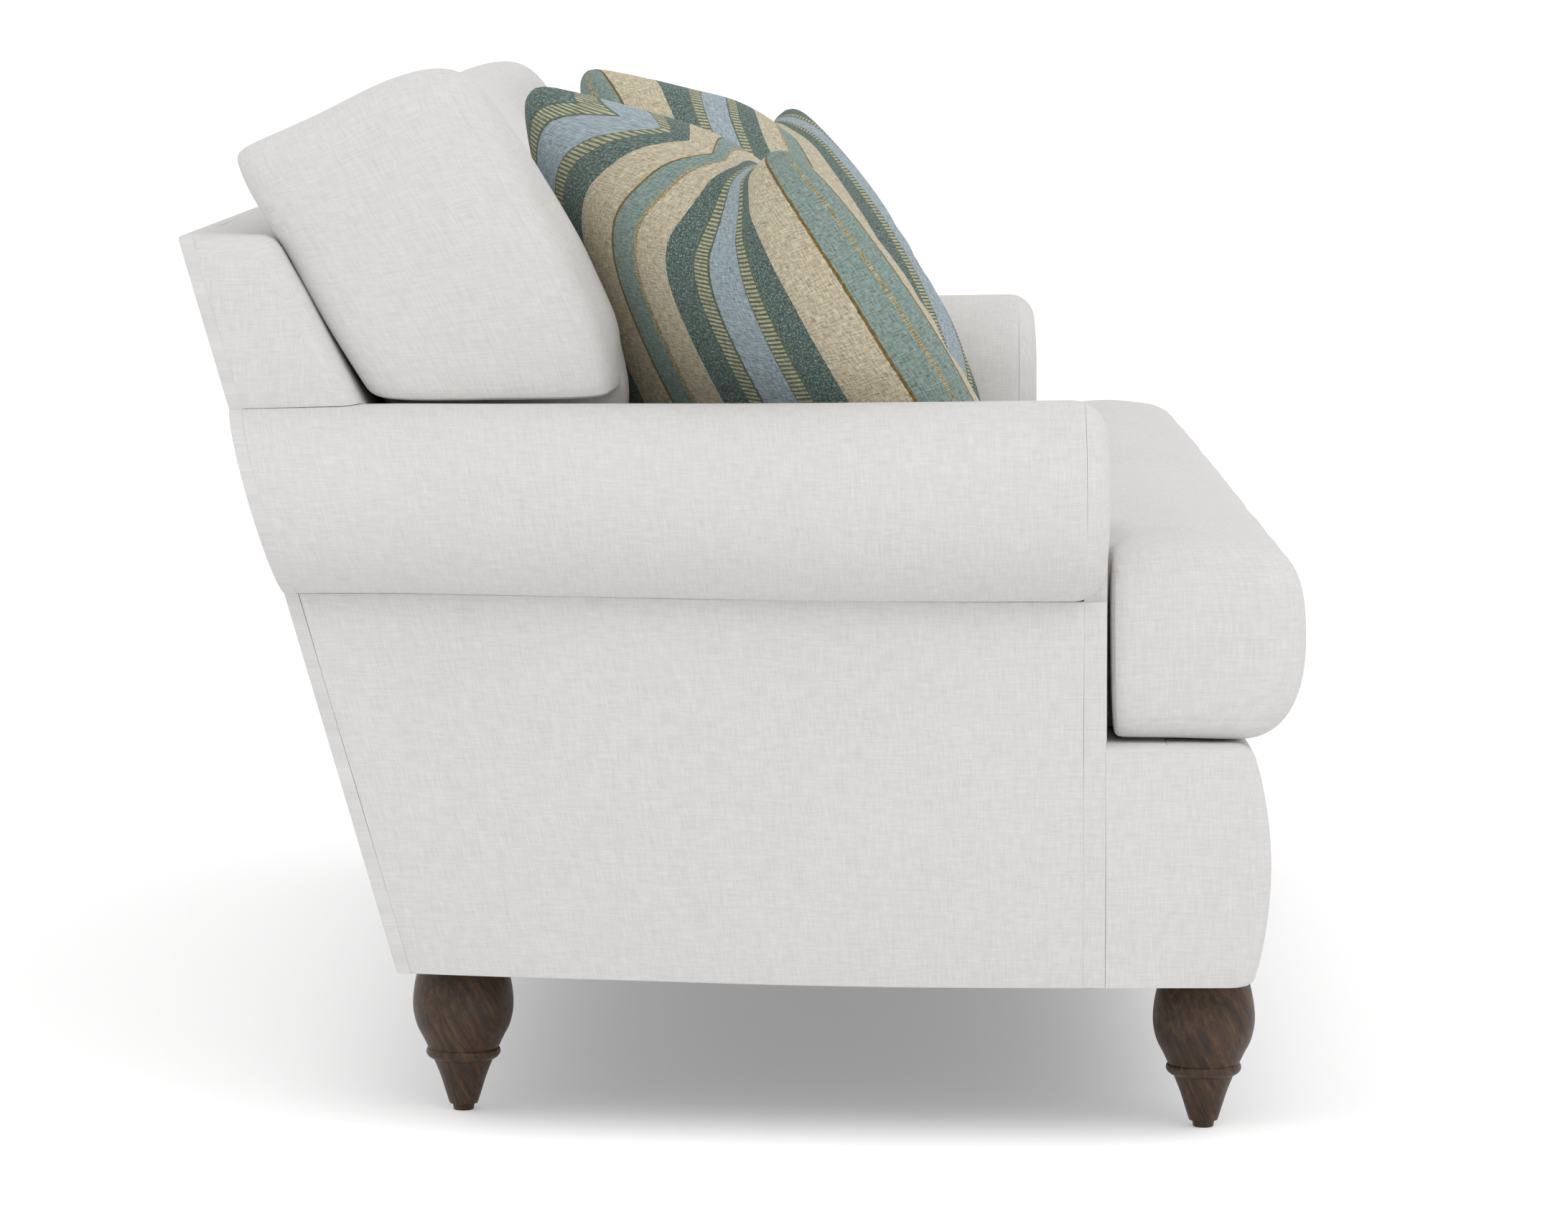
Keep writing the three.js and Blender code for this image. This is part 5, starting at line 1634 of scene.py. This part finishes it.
def keep_seat(spot):
    x, z = max(spot.x, GAP), max(spot.z, DECK_Z + ON_DECK)
    y = max(spot.y, SEAT_FRONT_Y - FRONT_SWELL)
    if x > arm_inner_x(ARM_FRONT_Y) - SEAT_ARM_GAP and y < ARM_FRONT_Y + NOTCH_DEPTH:
        y = min(y, ARM_FRONT_Y - NOTCH_GAP)
    if y > ARM_FRONT_Y:
        x = min(x, arm_inner_x(y) - WALL_GAP)
    if y > SLOPE_REAR_Y:
        z = min(z, SEAT_TOP_Z + UNDER_BACK)
    return Vector((min(x, HALF_WIDTH + OVERHANG), min(y, SEAT_REAR_Y + REAR_SWELL), z))


def keep_back(spot):
    x, y, z = max(spot.x, MIDDLE_GAP), spot.y, max(spot.z, CUSHION_FOOT_Z)
    beyond = to_lean(y, z)[1] - CUSHION_REAR
    if beyond > 0:
        y, z = y - beyond * UP_Z, z + beyond * UP_Y
    return clear_of_arm(Vector((min(x, BACK_HALF_WIDTH + OVERHANG), y, z)), gap=0.0014)


def keep_pillow(spot):
    on_seat = PILLOW_FOOT_Z + PILLOW_RISE * seat_slope(spot.y)
    return clear_of_arm(Vector((spot.x, spot.y, max(spot.z, on_seat))), gap=0.0006)


KEEPERS = {"right_seat": keep_seat, "right_back": keep_back, "right_pillow": keep_pillow}
for made in cushions:
    for vertex in made.data.vertices:
        vertex.co = KEEPERS[made.name](vertex.co)
    made.data.update()
    print(made.name, "kept clear")

# %% Left-hand pieces
def mirrored_piece(made, name, body):
    twin = made.copy()
    twin.data = made.data.copy()
    twin.name = twin.data.name = name
    scene.collection.objects.link(twin)
    for vertex in twin.data.vertices:
        vertex.co.x = -vertex.co.x
    twin.data.flip_normals()
    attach(twin, body)
    return twin


def subdivided(made):
    rounder = made.modifiers.new("rounder", "SUBSURF")
    rounder.levels = rounder.render_levels = 1
    rounder.uv_smooth = "PRESERVE_BOUNDARIES" if "pillow" in made.name else "NONE"
    return made


LEAN_IN, LEAN_IN_Z, LEAN_IN_RISE = 0.12, 0.62, 0.22


def leaned_in(spot):
    """The right-hand back cushion is a little flatter towards its top than its neighbour."""
    up, across = to_lean(spot.y, spot.z)
    flatter = LEAN_IN * clamp((spot.z - LEAN_IN_Z) / LEAN_IN_RISE)
    across = CUSHION_REAR + (across - CUSHION_REAR) * (1 - flatter)
    return Vector((spot.x, *from_lean(up, across)))


left_pieces = []
for made in (seat, back):
    name = made.name.replace("right", "left")
    left_pieces.append(mirrored_piece(made, name, name + "_cushion"))
for vertex in back.data.vertices:
    vertex.co = leaned_in(vertex.co)
left_pillow = pillow_piece("left", LEFT_STRIPES_START, 1)
set_points(left_pillow.data, points_of(pillow.data) * np.array([-1.0, 1.0, 1.0]))
left_pieces.append(outwards(left_pillow))

INSIDES = {
    "seat": ("seat_cushion", "seat_cushion_core"),
    "back": ("back_cushion", "back_cushion_fill"),
    "pillow": ("throw_pillow", "throw_pillow_insert"),
}
for number, made in enumerate(cushions + left_pieces):
    side_name, kind = made.name.split("_")
    soften(made, depth=0.0016 if kind == "pillow" else 0.0022, size=0.13, seed=11 + number)
    subdivided(made)
    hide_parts(*(f"{side_name}_{part}" for part in INSIDES[kind]))
    print(made.name, "done")

# %% [markdown]
# ## Finishes on the plain solids
#
# What is left of the model are the wooden frame, the springs, the bolts and the stuffing. Their
# shapes are right as they are, so they only get their finish.

# %% Finishes for the frame
PLAIN = {
    hardwood: ("rail", "leg_block", "stump", "board", "post"),
    steel: ("spring", "bolt"),
    wadding: ("stuffing",),
}
dressed = 0
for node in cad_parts:
    solid = bpy.data.objects.get(node)
    for finish, endings in PLAIN.items():
        if solid and any(word in node for word in endings):
            for slot in solid.material_slots:
                slot.material = finish
                dressed += 1
print("plain solids dressed:", dressed)

# %% [markdown]
# ## Studio
#
# The photograph has a pure white ground with only a soft grey shadow under the sofa. The floor is
# pale and matt. For the camera it also glows a little, so that where no shadow falls it is white.
# Towards the near side it glows more. That is painted light, which lifts the shadow under the near
# edge of the sofa.
# The light comes from all round, which is how such catalogue pictures are lit, with one wide soft
# lamp on the near side.

# %% Studio
FLOOR_REACH = 300.0
# The near side's glow strength is painted light on the floor.
FLOOR_GLOW, NEAR_PAINTED_LIGHT = 0.25, 0.60
WORLD_LIGHT = 0.90
WHITE = (1.0, 1.0, 1.0, 1.0)


def floor_finish():
    finish = Finish("floor")
    path = finish.node("ShaderNodeLightPath").socket.node
    camera_ray, glossy_ray = (
        Wire(finish, path.outputs[name]) for name in ("Is Camera Ray", "Is Glossy Ray")
    )
    matt = finish.node("ShaderNodeBsdfDiffuse", sockets={"Color": (0.92, 0.92, 0.92, 1.0)})
    x, _, _ = finish.axes(finish.spot())
    # Painted light: for the camera the floor glows more towards the near side (-X), which lifts the
    # shadow under the sofa's near edge.
    strength = finish.node(
        "ShaderNodeMapRange",
        {"interpolation_type": "SMOOTHSTEP"},
        {"Value": x * -1.0, "From Min": 0.85, "From Max": 1.25,
         "To Min": FLOOR_GLOW, "To Max": NEAR_PAINTED_LIGHT},
    )
    glow = finish.node("ShaderNodeEmission", sockets={"Color": WHITE, "Strength": strength})
    nothing = finish.node("ShaderNodeEmission", sockets={"Strength": 0.0})
    seen = camera_ray + glossy_ray
    extra = finish.node("ShaderNodeMixShader", sockets={0: seen, 1: nothing, 2: glow})
    finish.finish_with(finish.node("ShaderNodeAddShader", sockets={0: matt, 1: extra}))
    return finish.material


def studio_floor():
    mesh = bpy.data.meshes.new("floor")
    corners = [(-1, -1), (1, -1), (1, 1), (-1, 1)]
    spots = [(FLOOR_REACH * x, FLOOR_REACH * y, 0) for x, y in corners]
    mesh.from_pydata(spots, [], [(0, 1, 2, 3)])
    mesh.materials.append(floor_finish())
    floor = bpy.data.objects.new("floor", mesh)
    scene.collection.objects.link(floor)


studio_floor()

world = bpy.data.worlds.new("studio")
scene.world = world
world.use_nodes = True
world_nodes = world.node_tree
background = world_nodes.nodes["Background"].inputs
background["Color"].default_value = WHITE
seen_world = world_nodes.nodes.new("ShaderNodeLightPath").outputs["Is Camera Ray"]
strength = world_nodes.nodes.new("ShaderNodeMapRange")
strength.inputs["To Min"].default_value = WORLD_LIGHT
strength.inputs["To Max"].default_value = 1.0
world_nodes.links.new(seen_world, strength.inputs["Value"])
world_nodes.links.new(strength.outputs[0], background["Strength"])

lamp_data = bpy.data.lights.new("soft_side", "AREA")
lamp_data.shape = "RECTANGLE"
lamp_data.size, lamp_data.size_y = 8.0, 4.0
lamp_data.energy = 143.0
lamp_aim = Vector((0, 0, 0.4))
lamp = bpy.data.objects.new("soft_side", lamp_data)
lamp.location = (-7.5, -3.0, 6.5)
lamp.rotation_euler = (lamp_aim - lamp.location).to_track_quat("-Z", "Y").to_euler()
scene.collection.objects.link(lamp)
print("studio made")
